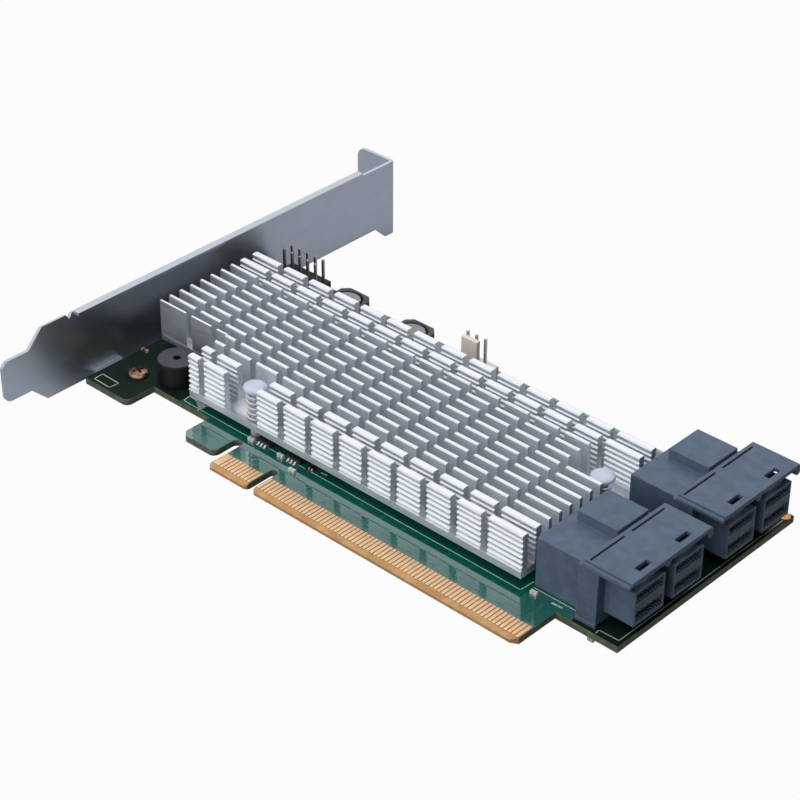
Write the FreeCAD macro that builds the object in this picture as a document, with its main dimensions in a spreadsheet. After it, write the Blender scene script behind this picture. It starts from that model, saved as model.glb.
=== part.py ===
# Host bus adapter card, built as an assembly of separate pieces.
# Lengths are in millimetres. X runs along the card from the bracket to the ports,
# Y runs from the edge contacts to the top edge, Z stands up from the component side.
# The origin is the centre of the key notch, on the contact edge, at half the board's thickness.

import math
import os
import re

import FreeCAD
import Part
import Sketcher

doc = FreeCAD.newDocument("host_bus_adapter")
sheet = doc.addObject("Spreadsheet::Sheet", "sizes")

# Every size that shapes a piece, by name
sizes = {
    # Circuit board
    "board_thick": 1.57,
    "board_face": 0.785,
    "board_left": -56.0,
    "board_right": 87.25,
    "board_top": 68.9,
    "lug_right": -42.4,
    "lug_low": 4.2,
    "shoulder_left": 12.1,
    "shoulder_right": 11.86,
    "blank_left": -24.6,
    "blank_right": -14.6,
    "blank_low": 4.0,
    "blank_cut": 1.3,
    "slot_top": 10.7,
    "edge_left": -12.15,
    "edge_right": 72.15,
    "edge_cut": 0.6,
    "edge_end_cut": 1.3,
    "key_half": 0.95,
    "key_depth": 8.0,
    "bevel_long": 1.2,
    "bevel_deep": 0.42,
    "corner_round": 1.6,
    "slot_round": 1.15,
    "key_cut": 0.5,
    # Edge contacts
    "contact_pitch": 1.0,
    "contact_wide": 0.7,
    "contact_low": 1.25,
    "contact_high": 5.4,
    "contact_thick": 0.05,
    "contact_first_short": -9.5,
    "contact_joined_left": -12.0,
    "contact_joined_right": -10.15,
    "contact_first_long": 1.5,
    "contact_count_short": 9,
    "contact_count_long": 71,
    # Bracket
    "bracket_face": -59.2,
    "bracket_thick": 0.86,
    "blade_low": -2.21,
    "blade_high": 16.21,
    "blade_foot": -4.0,
    "tail_root": -8.1,
    "tail_tip": -15.4,
    "tail_low": 1.7,
    "tail_high": 11.89,
    "tail_round": 2.0,
    "notch_place": 3.6,
    "notch_half": 0.85,
    "notch_deep": 1.3,
    "lip_start": 5.1,
    "lip_end": 94.4,
    "lip_reach": -57.76,
    "lip_round": 0.7,
    "step_long": 1.2,
    "ear_start": 100.2,
    "ear_end": 103.7,
    "ear_low": -5.5,
    "flange_place": 106.9,
    "flange_high": 14.5,
    "flange_tip": -71.0,
    "flange_round": 2.5,
    "bend_round": 0.8,
    "slot_centre": -65.4,
    "slot_half": 2.21,
    "slot_deep": -0.9,
    "slot_end_round": 2.15,
    "tab_tip": -44.9,
    "tab_half": 4.0,
    "tab_cut": 1.6,
    # Bracket screws
    "screw_x": -48.45,
    "screw_low_y": 13.0,
    "screw_gap": 44.0,
    "screw_count": 2,
    "screw_hole": 1.5,
    "screw_thread": 1.25,
    "screw_head": 2.3,
    "screw_crown": 1.75,
    "screw_head_high": 1.5,
    "screw_rim": 0.8,
    "screw_long": 3.4,
    # Heat sink
    "sink_left": -53.0,
    "sink_right": 62.5,
    "sink_front": 12.85,
    "sink_back": 54.45,
    "base_low": 2.985,
    "base_high": 4.685,
    "fin_high": 13.235,
    "fin_first": 21.16,
    "fin_pitch": 3.126,
    "fin_count": 9,
    "fin_half": 0.55,
    "fin_tip_half": 0.45,
    "wide_half": 0.95,
    "wide_front_outer": 13.85,
    "wide_front_inner": 17.74,
    "wide_back_inner": 49.59,
    "wide_back_outer": 53.48,
    "ridge_deep": 0.4,
    "ridge_pitch": 1.28,
    "ridge_count": 6,
    "cut_first": -43.74,
    "cut_pitch": 8.04,
    "cut_count": 13,
    "cut_half": 0.9,
    "corner_right": -31.6,
    "corner_back": 24.24,
    "pin_pocket_left": -20.5,
    "pin_pocket_right": -10.5,
    "pin_pocket_back": 19.65,
    "end_pocket_left": 52.0,
    "end_pocket_front": 38.3,
    "end_pocket_back": 47.8,
    "reach_over": 20.0,
    # Controller
    "chip_x": 20.0,
    "chip_y": 33.6,
    "substrate_half": 12.5,
    "substrate_high": 1.1,
    "lid_half": 11.0,
    "lid_cut": 2.0,
    "lid_high": 0.8,
    "pad_half": 10.5,
    "pad_high": 0.3,
    # Push pins and springs
    "pin_front_x": -13.2,
    "pin_front_y": 15.2,
    "pin_rear_x": 60.2,
    "pin_rear_y": 40.1,
    "pin_hole": 1.55,
    "pin_stem": 1.25,
    "pin_head": 2.6,
    "pin_head_top": 13.185,
    "pin_head_low": 11.785,
    "pin_barb": 2.1,
    "pin_barb_top": -0.785,
    "pin_tip_cut": 1.4,
    "pin_tip_low": -3.6,
    "spring_mean": 1.78,
    "spring_wire": 0.5,
    "spring_turns": 5.0,
    # Buzzer
    "buzzer_x": -40.95,
    "buzzer_y": 17.95,
    "buzzer_half": 4.5,
    "buzzer_high": 5.5,
    "buzzer_port": 0.8,
    "buzzer_port_deep": 1.2,
    "buzzer_pin_half": 0.25,
    "buzzer_pin_gap": 6.5,
    "buzzer_pin_low": -2.6,
    # Jumper header
    "jumper_x": -48.6,
    "jumper_y": 64.78,
    "header_pitch": 2.54,
    "header_pin": 0.64,
    "jumper_half_long": 6.35,
    "jumper_half_wide": 2.54,
    "jumper_high": 3.2,
    "jumper_pin_top": 9.785,
    "header_pin_low": -2.6,
    # Fan header
    "fan_x": 7.11,
    "fan_pin_y": 62.4,
    "fan_half_long": 3.8,
    "fan_front": 60.3,
    "fan_back": 65.6,
    "fan_base_high": 3.9,
    "fan_wall_left": 4.4,
    "fan_wall_right": 8.9,
    "fan_wall_back": 61.5,
    "fan_wall_top": 12.185,
    "fan_pin_top": 12.685,
    # Power inductors
    "coil_left_x": -32.3,
    "coil_right_x": -12.2,
    "coil_y": 62.2,
    "coil_half": 4.5,
    "coil_cut": 1.6,
    "coil_high": 4.65,
    # Port pairs
    "port_front_y": 26.08,
    "port_gap": 28.75,
    "block_left": 63.9,
    "block_right": 76.0,
    "block_half": 10.6,
    "block_high": 12.485,
    "rise_left": 66.0,
    "rise_low": -1.2,
    "rise_far": 8.4,
    "rise_high": 14.985,
    "shroud_right": 81.0,
    "shroud_half": 13.0,
    "shroud_high": 13.985,
    "foot_left": 76.0,
    "foot_half": 13.3,
    "foot_high": 1.8,
    "cover_left": 76.8,
    "cover_right": 88.25,
    "cover_half": 12.33,
    "cover_high": 14.985,
    "lip_low": 13.185,
    "lip_top": 14.55,
    "lip_far": 88.1,
    "slit_left": 77.65,
    "slit_right": 78.1,
    "slit_near": -11.8,
    "slit_mid_near": -1.5,
    "slit_mid_far": 0.7,
    "slit_far": 10.9,
    "window_left": 85.4,
    "window_right": 86.7,
    "window_near": -8.1,
    "window_mid_near": -4.4,
    "window_mid_far": 4.0,
    "window_far": 7.9,
    "guide_low": 12.285,
    "guide_mid_low": 12.885,
    "guide_mid_near": -2.1,
    "guide_mid_far": -0.1,
    "guide_end_near": 11.3,
    "guide_end_far": 12.9,
    "nose_right": 88.2,
    "nose_near": -10.98,
    "nose_mid_near": -1.78,
    "nose_mid_far": 0.92,
    "nose_far": 10.12,
    "nose_low": 4.0,
    "nose_high": 11.95,
    "slot_inset": 0.75,
    "slot_low_floor": 5.2,
    "slot_low_roof": 7.0,
    "slot_high_floor": 9.4,
    "slot_high_roof": 11.15,
    "slot_back": 82.0,
    "blade_wide": 0.35,
    "blade_thick": 0.3,
    "blade_pitch": 0.8,
    "blade_inset": 1.43,
    "blade_count": 9,
    "blade_end": 87.4,
    "lock_x": 79.6,
    "lock_reach": 12.4,
    "lock_long": 1.4,
    "lock_wide": 0.6,
    "lock_low": -3.1,
    # Small board components
    "capacitor_long": 1.6,
    "capacitor_wide": 0.8,
    "capacitor_high": 0.8,
    "resistor_long": 1.0,
    "resistor_wide": 0.5,
    "resistor_high": 0.4,
    "led_long": 1.6,
    "led_wide": 0.8,
    "led_high": 0.7,
    "flash_long": 6.0,
    "flash_wide": 5.0,
    "flash_high": 0.9,
    "regulator_side": 4.0,
    "regulator_high": 0.9,
    "clock_long": 5.0,
    "clock_wide": 3.2,
    "clock_high": 1.3,
}

for row, (word, number) in enumerate(sizes.items(), start=1):
    sheet.set("A%d" % row, word)
    sheet.set("B%d" % row, str(number))
    sheet.setAlias("B%d" % row, word)
doc.recompute()

# Where the small components sit on the board, as X and Y
capacitor_spots = [
    (-38.0, 56.0),
    (-26.6, 56.0),
    (-18.0, 56.0),
    (-6.4, 56.0),
    (16.0, 57.0),
    (16.0, 60.0),
    (16.0, 63.0),
    (-11.7, 12.2),
    (-2.9, 12.2),
    (2.6, 10.1),
    (65.6, 13.3),
    (40.0, 56.0),
    (40.0, 58.5),
    (40.0, 61.0),
]
resistor_spots = [
    (4.9, 13.3),
    (9.0, 56.4),
    (11.5, 56.4),
    (46.0, 56.0),
    (46.0, 58.0),
    (46.0, 60.0),
    (-53.8, 30.0),
    (-53.8, 32.5),
    (-53.8, 35.0),
]
led_spots = [
    (-54.6, 20.4),
]
regulator_spots = [
    (-22.2, 60.5),
    (-22.2, 66.0),
    (-8.8, 14.7),
    (0.1, 14.7),
]

# Square posts of the two pin headers, as X and Y steps from the header's middle
jumper_steps = [(column, side) for column in (-2, -1, 0, 1, 2) for side in (-0.5, 0.5)]
fan_steps = [-1, 0, 1]

# Small round pieces and hidden holes are drawn with few sides, to keep the meshes light
hole_sides = 12
head_sides = 24

pieces = []


# Helpers for expressions, sketches and features
def bound(text):
    return re.sub(r"[a-z]\w*", lambda found: "sizes." + found.group(0), text)


def amount(text):
    return float(sheet.evalExpression(bound(text)))


def origin_part(body, role):
    for feature in body.Origin.OriginFeatures:
        if feature.Role == role:
            return feature
    raise ValueError(role)


def new_body(label):
    body = doc.addObject("PartDesign::Body", label)
    body.Label = label
    return body


def new_sketch(body, name, plane, offset="0"):
    sketch = body.newObject("Sketcher::SketchObject", name)
    sketch.AttachmentSupport = [(origin_part(body, plane), "")]
    sketch.MapMode = "FlatFace"
    sketch.setExpression("AttachmentOffset.Base.z", bound(offset))
    return sketch


def polygon(sketch, corners):
    first = sketch.GeometryCount
    points = [FreeCAD.Vector(amount(across), amount(up), 0) for across, up in corners]
    total = len(points)
    for step in range(total):
        sketch.addGeometry(Part.LineSegment(points[step], points[(step + 1) % total]), False)
    for step in range(total):
        follow = (step + 1) % total
        sketch.addConstraint(Sketcher.Constraint("Coincident", first + step, 2, first + follow, 1))
    for step, (across, up) in enumerate(corners):
        line = first + step
        place = Sketcher.Constraint("DistanceX", -1, 1, line, 1, points[step].x)
        sketch.setExpression("Constraints[%d]" % sketch.addConstraint(place), bound(across))
        place = Sketcher.Constraint("DistanceY", -1, 1, line, 1, points[step].y)
        sketch.setExpression("Constraints[%d]" % sketch.addConstraint(place), bound(up))


def rectangle(sketch, left, low, right, high):
    polygon(sketch, [(left, low), (right, low), (right, high), (left, high)])


def ring(sketch, across, up, radius, sides):
    corners = []
    for step in range(sides):
        turn = 2 * math.pi * step / sides
        corners.append((
            "%s + %s * (%.5f)" % (across, radius, math.cos(turn)),
            "%s + %s * (%.5f)" % (up, radius, math.sin(turn)),
        ))
    polygon(sketch, corners)


def pad(body, name, sketch, length, backward=False, both_ways=False):
    feature = body.newObject("PartDesign::Pad", name)
    feature.Profile = sketch
    feature.setExpression("Length", bound(length))
    feature.Reversed = backward
    if both_ways:
        feature.SideType = "Symmetric"
    body.Tip = feature
    return feature


def pocket(body, name, sketch, length, backward=False, both_ways=False):
    feature = body.newObject("PartDesign::Pocket", name)
    feature.Profile = sketch
    feature.setExpression("Length", bound(length))
    feature.Reversed = backward
    if both_ways:
        feature.SideType = "Symmetric"
    body.Tip = feature
    return feature


def row_of(body, name, feature, axis, pitch, count):
    pattern = body.newObject("PartDesign::LinearPattern", name)
    pattern.Originals = [feature]
    pattern.Direction = (origin_part(body, axis), [""])
    pattern.setExpression("Length", bound("%s * (%s - 1)" % (pitch, count)))
    pattern.setExpression("Occurrences", bound(count))
    body.Tip = pattern
    return pattern


def edges_at(feature, axes, places):
    names = []
    for index, edge in enumerate(feature.Shape.Edges, start=1):
        ends = [vertex.Point for vertex in edge.Vertexes]
        for place in places:
            goal = [amount(text) for text in place]
            near = [abs(getattr(end, axis) - value) < 1e-4 for end in ends for axis, value in zip(axes, goal)]
            if len(ends) == 2 and all(near):
                names.append("Edge%d" % index)
    return names


def rounded(body, name, axes, places, radius):
    doc.recompute()
    base = body.Tip
    feature = body.newObject("PartDesign::Fillet", name)
    feature.Base = (base, edges_at(base, axes, places))
    feature.setExpression("Radius", bound(radius))
    body.Tip = feature
    return feature


def sloped(body, name, axes, places, size):
    doc.recompute()
    base = body.Tip
    feature = body.newObject("PartDesign::Chamfer", name)
    feature.Base = (base, edges_at(base, axes, places))
    feature.setExpression("Size", bound(size))
    body.Tip = feature
    return feature


def placed_body(label, across, along, level):
    body = new_body(label)
    body.setExpression("Placement.Base.x", bound(across))
    body.setExpression("Placement.Base.y", bound(along))
    body.setExpression("Placement.Base.z", bound(level))
    return body


def turned(label, across, along, level, corners):
    body = placed_body(label, across, along, level)
    sketch = new_sketch(body, label + "_outline", "XZ_Plane")
    polygon(sketch, corners)
    feature = body.newObject("PartDesign::Revolution", label + "_turn")
    feature.Profile = sketch
    feature.ReferenceAxis = (origin_part(body, "Z_Axis"), [""])
    feature.Angle = 360
    body.Tip = feature
    return body


def group(label, members):
    holder = doc.addObject("Part::Compound", label)
    holder.Label = label
    holder.Links = members
    pieces.append(holder)
    return holder


def brick(name, left, near, low, long, wide, high):
    box = doc.addObject("Part::Box", name)
    box.setExpression("Length", bound(long))
    box.setExpression("Width", bound(wide))
    box.setExpression("Height", bound(high))
    box.setExpression("Placement.Base.x", bound(left))
    box.setExpression("Placement.Base.y", bound(near))
    box.setExpression("Placement.Base.z", bound(low))
    return box


# Circuit board with its contact edge, key notch and side tabs
board = new_body("circuit_board")
pieces.append(board)
outline = new_sketch(board, "board_outline", "XY_Plane")
polygon(outline, [
    ("board_left", "lug_low"),
    ("lug_right", "lug_low"),
    ("lug_right", "shoulder_left"),
    ("blank_left", "shoulder_left"),
    ("blank_left", "blank_low + blank_cut"),
    ("blank_left + blank_cut", "blank_low"),
    ("blank_right", "blank_low"),
    ("blank_right", "slot_top"),
    ("edge_left", "slot_top"),
    ("edge_left", "edge_cut"),
    ("edge_left + edge_cut", "0"),
    ("-key_half - edge_cut", "0"),
    ("-key_half", "edge_cut"),
    ("-key_half", "key_depth - key_cut"),
    ("key_cut - key_half", "key_depth"),
    ("key_half - key_cut", "key_depth"),
    ("key_half", "key_depth - key_cut"),
    ("key_half", "edge_cut"),
    ("key_half + edge_cut", "0"),
    ("edge_right - edge_end_cut", "0"),
    ("edge_right", "edge_end_cut"),
    ("edge_right", "shoulder_right"),
    ("board_right", "shoulder_right"),
    ("board_right", "board_top"),
    ("board_left", "board_top"),
])
pad(board, "board_plate", outline, "board_thick", both_ways=True)
rounded(board, "board_corners", "xy", [
    ("lug_right", "lug_low"),
    ("blank_right", "blank_low"),
], "corner_round")
rounded(board, "board_slot_end", "xy", [
    ("blank_right", "slot_top"),
    ("edge_left", "slot_top"),
], "slot_round")

# Sloped lead-in on both faces of the contact edge
lead_in = new_sketch(board, "board_lead_in", "YZ_Plane", "edge_left")
polygon(lead_in, [
    ("0", "board_face - bevel_deep"),
    ("bevel_long", "board_face"),
    ("0", "board_face"),
])
polygon(lead_in, [
    ("0", "bevel_deep - board_face"),
    ("0", "-board_face"),
    ("bevel_long", "-board_face"),
])
pocket(board, "board_bevel", lead_in, "edge_right - edge_left", backward=True)

# Holes for screws and push pins, and square holes for posts, leads and board locks
holes = new_sketch(board, "board_holes", "XY_Plane")
ring(holes, "screw_x", "screw_low_y", "screw_hole", hole_sides)
ring(holes, "screw_x", "screw_low_y + screw_gap", "screw_hole", hole_sides)
ring(holes, "pin_front_x", "pin_front_y", "pin_hole", hole_sides)
ring(holes, "pin_rear_x", "pin_rear_y", "pin_hole", hole_sides)


def post_square(sketch, across, along):
    rectangle(
        sketch,
        "%s - header_pin / 2" % across,
        "%s - header_pin / 2" % along,
        "%s + header_pin / 2" % across,
        "%s + header_pin / 2" % along,
    )


def jumper_squares(sketch):
    for column, side in jumper_steps:
        post_square(
            sketch,
            "jumper_x + header_pitch * (%g)" % column,
            "jumper_y + header_pitch * (%g)" % side,
        )


def fan_squares(sketch):
    for column in fan_steps:
        post_square(sketch, "fan_x + header_pitch * (%g)" % column, "fan_pin_y")


def lead_squares(sketch):
    for side in ("-", "+"):
        middle = "buzzer_x %s buzzer_pin_gap / 2" % side
        rectangle(
            sketch,
            "%s - buzzer_pin_half" % middle,
            "buzzer_y - buzzer_pin_half",
            "%s + buzzer_pin_half" % middle,
            "buzzer_y + buzzer_pin_half",
        )


def lock_squares(sketch):
    for middle in ("port_front_y", "port_front_y + port_gap"):
        for side in ("- lock_reach", "+ lock_reach"):
            along = "%s %s" % (middle, side)
            rectangle(
                sketch,
                "lock_x - lock_long / 2",
                "%s - lock_wide / 2" % along,
                "lock_x + lock_long / 2",
                "%s + lock_wide / 2" % along,
            )


jumper_squares(holes)
fan_squares(holes)
lead_squares(holes)
lock_squares(holes)
pocket(board, "board_drilled", holes, "board_thick * 2", both_ways=True)


# Gold contacts on both faces of the edge
def contact_run(name, first, count, level):
    body = new_body(name)
    body.AllowCompound = True
    sketch = new_sketch(body, name + "_outline", "XY_Plane", level)
    rectangle(
        sketch,
        "%s - contact_wide / 2" % first,
        "contact_low",
        "%s + contact_wide / 2" % first,
        "contact_high",
    )
    single = pad(body, name + "_single", sketch, "contact_thick")
    row_of(body, name + "_row", single, "X_Axis", "contact_pitch", count)
    return body


# The two contacts nearest the bracket are joined into one wide plate
def joined_contact(name, level):
    return brick(
        name,
        "contact_joined_left",
        "contact_low",
        level,
        "contact_joined_right - contact_joined_left",
        "contact_high - contact_low",
        "contact_thick",
    )


group("edge_contacts_top", [
    joined_contact("top_joined", "board_face"),
    contact_run("top_short_run", "contact_first_short", "contact_count_short", "board_face"),
    contact_run("top_long_run", "contact_first_long", "contact_count_long", "board_face"),
])
under_face = "-board_face - contact_thick"
group("edge_contacts_bottom", [
    joined_contact("bottom_joined", under_face),
    contact_run("bottom_short_run", "contact_first_short", "contact_count_short", under_face),
    contact_run("bottom_long_run", "contact_first_long", "contact_count_long", under_face),
])

# Folded bracket: blade, side lip, top flange and two tabs under the board
bracket = new_body("io_bracket")
pieces.append(bracket)
blade = new_sketch(bracket, "blade_outline", "YZ_Plane", "bracket_face")
polygon(blade, [
    ("tail_tip", "tail_low"),
    ("tail_root", "tail_low"),
    ("blade_foot", "blade_low"),
    ("ear_start", "blade_low"),
    ("ear_end", "ear_low"),
    ("flange_place", "ear_low"),
    ("flange_place", "flange_high"),
    ("lip_end + step_long", "flange_high"),
    ("lip_end", "blade_high"),
    ("notch_place + notch_half", "blade_high"),
    ("notch_place", "blade_high - notch_deep"),
    ("notch_place - notch_half", "blade_high"),
    ("blade_foot", "blade_high"),
    ("tail_root", "tail_high"),
    ("tail_tip", "tail_high"),
])
pad(bracket, "blade_plate", blade, "bracket_thick", backward=True)
rounded(bracket, "tail_corners", "yz", [("tail_tip", "tail_low"), ("tail_tip", "tail_high")], "tail_round")
flange = new_sketch(bracket, "flange_outline", "XZ_Plane", "-flange_place")
polygon(flange, [
    ("bracket_face", "ear_low"),
    ("bracket_face", "flange_high"),
    ("flange_tip", "flange_high"),
    ("flange_tip", "ear_low"),
    ("slot_centre - slot_half", "ear_low"),
    ("slot_centre - slot_half", "slot_deep"),
    ("slot_centre + slot_half", "slot_deep"),
    ("slot_centre + slot_half", "ear_low"),
])
pad(bracket, "flange_plate", flange, "bracket_thick")
rounded(bracket, "flange_corners", "xz", [("flange_tip", "flange_high"), ("flange_tip", "ear_low")], "flange_round")
rounded(bracket, "flange_slot_end", "xz", [
    ("slot_centre - slot_half", "slot_deep"),
    ("slot_centre + slot_half", "slot_deep"),
], "slot_end_round")
rounded(bracket, "flange_bend", "xy", [("bracket_face", "flange_place")], "bend_round")
lip = new_sketch(bracket, "lip_outline", "XZ_Plane", "-lip_start")
rectangle(lip, "bracket_face - bracket_thick", "blade_high - bracket_thick", "lip_reach", "blade_high")
pad(bracket, "lip_plate", lip, "lip_end - lip_start", backward=True)
rounded(bracket, "lip_bend", "xz", [("bracket_face - bracket_thick", "blade_high")], "lip_round")
tabs = new_sketch(bracket, "tab_outline", "XY_Plane", "-board_face - bracket_thick")
for middle in ("screw_low_y", "screw_low_y + screw_gap"):
    polygon(tabs, [
        ("bracket_face", "%s - tab_half" % middle),
        ("tab_tip - tab_cut", "%s - tab_half" % middle),
        ("tab_tip", "%s - tab_half + tab_cut" % middle),
        ("tab_tip", "%s + tab_half - tab_cut" % middle),
        ("tab_tip - tab_cut", "%s + tab_half" % middle),
        ("bracket_face", "%s + tab_half" % middle),
    ])
    ring(tabs, "screw_x", middle, "screw_thread", hole_sides)
pad(bracket, "tab_plates", tabs, "bracket_thick")

# Screws that hold the board to the tabs
screws = placed_body("bracket_screws", "screw_x", "screw_low_y", "board_face")
screws.AllowCompound = True
pieces.append(screws)
rim = new_sketch(screws, "screw_rim_outline", "XY_Plane")
ring(rim, "0", "0", "screw_head", head_sides)
screw_steps = [pad(screws, "screw_rim_plate", rim, "screw_rim")]
crown = new_sketch(screws, "screw_crown_outline", "XY_Plane")
ring(crown, "0", "0", "screw_crown", head_sides)
screw_steps.append(pad(screws, "screw_crown_plate", crown, "screw_head_high"))
shank = new_sketch(screws, "screw_shank_outline", "XY_Plane")
ring(shank, "0", "0", "screw_thread", hole_sides)
screw_steps.append(pad(screws, "screw_shank_run", shank, "screw_long", backward=True))
screw_pair = row_of(screws, "screw_pair", screw_steps[0], "Y_Axis", "screw_gap", "screw_count")
screw_pair.Originals = screw_steps

# Heat sink: base, plain fins, ridged outer fins, cross cuts and clearances
sink = new_body("heat_sink")
pieces.append(sink)
base = new_sketch(sink, "sink_base", "XY_Plane", "base_low")
rectangle(base, "sink_left", "sink_front", "sink_right", "sink_back")
pad(sink, "sink_slab", base, "base_high - base_low")
fin = new_sketch(sink, "sink_fin", "YZ_Plane", "sink_left")
polygon(fin, [
    ("fin_first - fin_half", "base_high"),
    ("fin_first + fin_half", "base_high"),
    ("fin_first + fin_tip_half", "fin_high"),
    ("fin_first - fin_tip_half", "fin_high"),
])
single_fin = pad(sink, "sink_single_fin", fin, "sink_right - sink_left")
row_of(sink, "sink_fin_row", single_fin, "Y_Axis", "fin_pitch", "fin_count")


# A ridged face runs up one side of a wide fin, the other side is plain
def wide_fin(name, middle, side):
    sketch = new_sketch(sink, name, "YZ_Plane", "sink_left")
    crest = "%s %s wide_half" % (middle, side)
    back_side = "-" if side == "+" else "+"
    valley = "%s %s ridge_deep" % (crest, back_side)
    plain = "%s %s wide_half" % (middle, back_side)
    corners = [(plain, "fin_high"), (plain, "base_high"), (valley, "base_high")]
    for ridge in range(sizes["ridge_count"]):
        corners.append((crest, "base_high + ridge_pitch * (%g)" % (ridge + 0.55)))
        corners.append((valley, "base_high + ridge_pitch * (%d)" % (ridge + 1)))
    corners.append((valley, "fin_high"))
    polygon(sketch, corners)
    return pad(sink, name + "_run", sketch, "sink_right - sink_left")


def thick_fin(name, middle):
    sketch = new_sketch(sink, name, "YZ_Plane", "sink_left")
    rectangle(sketch, middle + " - wide_half", "base_high", middle + " + wide_half", "fin_high")
    return pad(sink, name + "_run", sketch, "sink_right - sink_left")


wide_fin("sink_front_outer", "wide_front_outer", "-")
thick_fin("sink_front_inner", "wide_front_inner")
thick_fin("sink_back_inner", "wide_back_inner")
wide_fin("sink_back_outer", "wide_back_outer", "+")
cut = new_sketch(sink, "sink_cut", "XY_Plane", "base_high")
rectangle(
    cut,
    "cut_first - cut_half",
    "sink_front - cut_half",
    "cut_first + cut_half",
    "sink_back + cut_half",
)
single_cut = pocket(sink, "sink_single_cut", cut, "reach_over", backward=True)
row_of(sink, "sink_cut_row", single_cut, "X_Axis", "cut_pitch", "cut_count")
clearance = new_sketch(sink, "sink_clearance", "XY_Plane", "base_high")
rectangle(
    clearance,
    "pin_pocket_left",
    "sink_front - cut_half",
    "pin_pocket_right",
    "pin_pocket_back",
)
rectangle(
    clearance,
    "end_pocket_left",
    "end_pocket_front",
    "sink_right + cut_half",
    "end_pocket_back",
)
pocket(sink, "sink_pin_pockets", clearance, "reach_over", backward=True)
through = new_sketch(sink, "sink_through", "XY_Plane")
rectangle(through, "sink_left - cut_half", "sink_front - cut_half", "corner_right", "corner_back")
ring(through, "pin_front_x", "pin_front_y", "pin_hole", hole_sides)
ring(through, "pin_rear_x", "pin_rear_y", "pin_hole", hole_sides)
pocket(sink, "sink_openings", through, "reach_over", backward=True)

# Controller package and the pad that couples it to the heat sink
substrate = brick(
    "controller_substrate",
    "chip_x - substrate_half",
    "chip_y - substrate_half",
    "board_face",
    "substrate_half * 2",
    "substrate_half * 2",
    "substrate_high",
)
pieces.append(substrate)
lid = new_body("controller_lid")
pieces.append(lid)
lid_outline = new_sketch(lid, "lid_outline", "XY_Plane", "board_face + substrate_high")
polygon(lid_outline, [
    ("chip_x - lid_half + lid_cut", "chip_y - lid_half"),
    ("chip_x + lid_half - lid_cut", "chip_y - lid_half"),
    ("chip_x + lid_half", "chip_y - lid_half + lid_cut"),
    ("chip_x + lid_half", "chip_y + lid_half - lid_cut"),
    ("chip_x + lid_half - lid_cut", "chip_y + lid_half"),
    ("chip_x - lid_half + lid_cut", "chip_y + lid_half"),
    ("chip_x - lid_half", "chip_y + lid_half - lid_cut"),
    ("chip_x - lid_half", "chip_y - lid_half + lid_cut"),
])
pad(lid, "lid_plate", lid_outline, "lid_high")
coupling = brick(
    "thermal_pad",
    "chip_x - pad_half",
    "chip_y - pad_half",
    "board_face + substrate_high + lid_high",
    "pad_half * 2",
    "pad_half * 2",
    "pad_high",
)
pieces.append(coupling)

# Push pins: round head, straight stem and a barbed tip under the board
def push_pin(label, across, along):
    body = placed_body(label, across, along, "0")
    head = new_sketch(body, label + "_head", "XY_Plane", "pin_head_low")
    ring(head, "0", "0", "pin_head", head_sides)
    pad(body, label + "_head_plate", head, "pin_head_top - pin_head_low")
    stem = new_sketch(body, label + "_stem", "XY_Plane", "pin_head_low")
    ring(stem, "0", "0", "pin_stem", hole_sides)
    pad(body, label + "_stem_run", stem, "pin_head_low - pin_barb_top", backward=True)
    barb = new_sketch(body, label + "_barb", "XY_Plane", "pin_barb_top")
    ring(barb, "0", "0", "pin_barb", hole_sides)
    pad(body, label + "_barb_run", barb, "pin_barb_top - pin_tip_low", backward=True)
    sloped(body, label + "_tip", "z", [("pin_tip_low",)], "pin_tip_cut")
    pieces.append(body)


push_pin("push_pin_front", "pin_front_x", "pin_front_y")
push_pin("push_pin_rear", "pin_rear_x", "pin_rear_y")


# Springs between the heat sink's base and the pin heads, with short straight steps along the coil
def spring(label, across, along):
    steps_each_turn = 8
    wire = amount("spring_wire")
    mean = amount("spring_mean")
    low = amount("base_high + spring_wire / 2")
    rise = amount("pin_head_low - base_high - spring_wire")
    steps = int(amount("spring_turns") * steps_each_turn)
    rings = []
    for step in range(steps + 1):
        middle = low + rise * step / steps
        facing = FreeCAD.Rotation(FreeCAD.Vector(0, 0, 1), 360.0 * step / steps_each_turn)
        section = []
        for out, up in ((-1, -1), (1, -1), (1, 1), (-1, 1)):
            corner = FreeCAD.Vector(mean + out * wire / 2, 0, middle + up * wire / 2)
            section.append(facing.multVec(corner))
        rings.append(section)
    faces = []
    for ring_now, ring_next in zip(rings, rings[1:]):
        for side in range(4):
            follow = (side + 1) % 4
            for corners in (
                (ring_now[side], ring_now[follow], ring_next[follow]),
                (ring_now[side], ring_next[follow], ring_next[side]),
            ):
                faces.append(Part.Face(Part.makePolygon(list(corners) + [corners[0]])))
    for end in (rings[0], rings[-1]):
        faces.append(Part.Face(Part.makePolygon(end + [end[0]])))
    solid = Part.Solid(Part.Shell(faces))
    coil = doc.addObject("Part::Feature", label)
    coil.Label = label
    coil.Shape = solid
    coil.Placement = FreeCAD.Placement(
        FreeCAD.Vector(amount(across), amount(along), 0),
        FreeCAD.Rotation(),
    )
    pieces.append(coil)


spring("pin_spring_front", "pin_front_x", "pin_front_y")
spring("pin_spring_rear", "pin_rear_x", "pin_rear_y")

# Buzzer can with a sound port, and its two leads
buzzer = turned("buzzer_case", "buzzer_x", "buzzer_y", "board_face", [
    ("0", "0"),
    ("buzzer_half", "0"),
    ("buzzer_half", "buzzer_high"),
    ("buzzer_port", "buzzer_high"),
    ("buzzer_port", "buzzer_high - buzzer_port_deep"),
    ("0", "buzzer_high - buzzer_port_deep"),
])
pieces.append(buzzer)
leads = new_body("buzzer_pins")
leads.AllowCompound = True
pieces.append(leads)
lead_outline = new_sketch(leads, "lead_outline", "XY_Plane", "buzzer_pin_low")
lead_squares(lead_outline)
pad(leads, "lead_run", lead_outline, "board_face - buzzer_pin_low")

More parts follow.
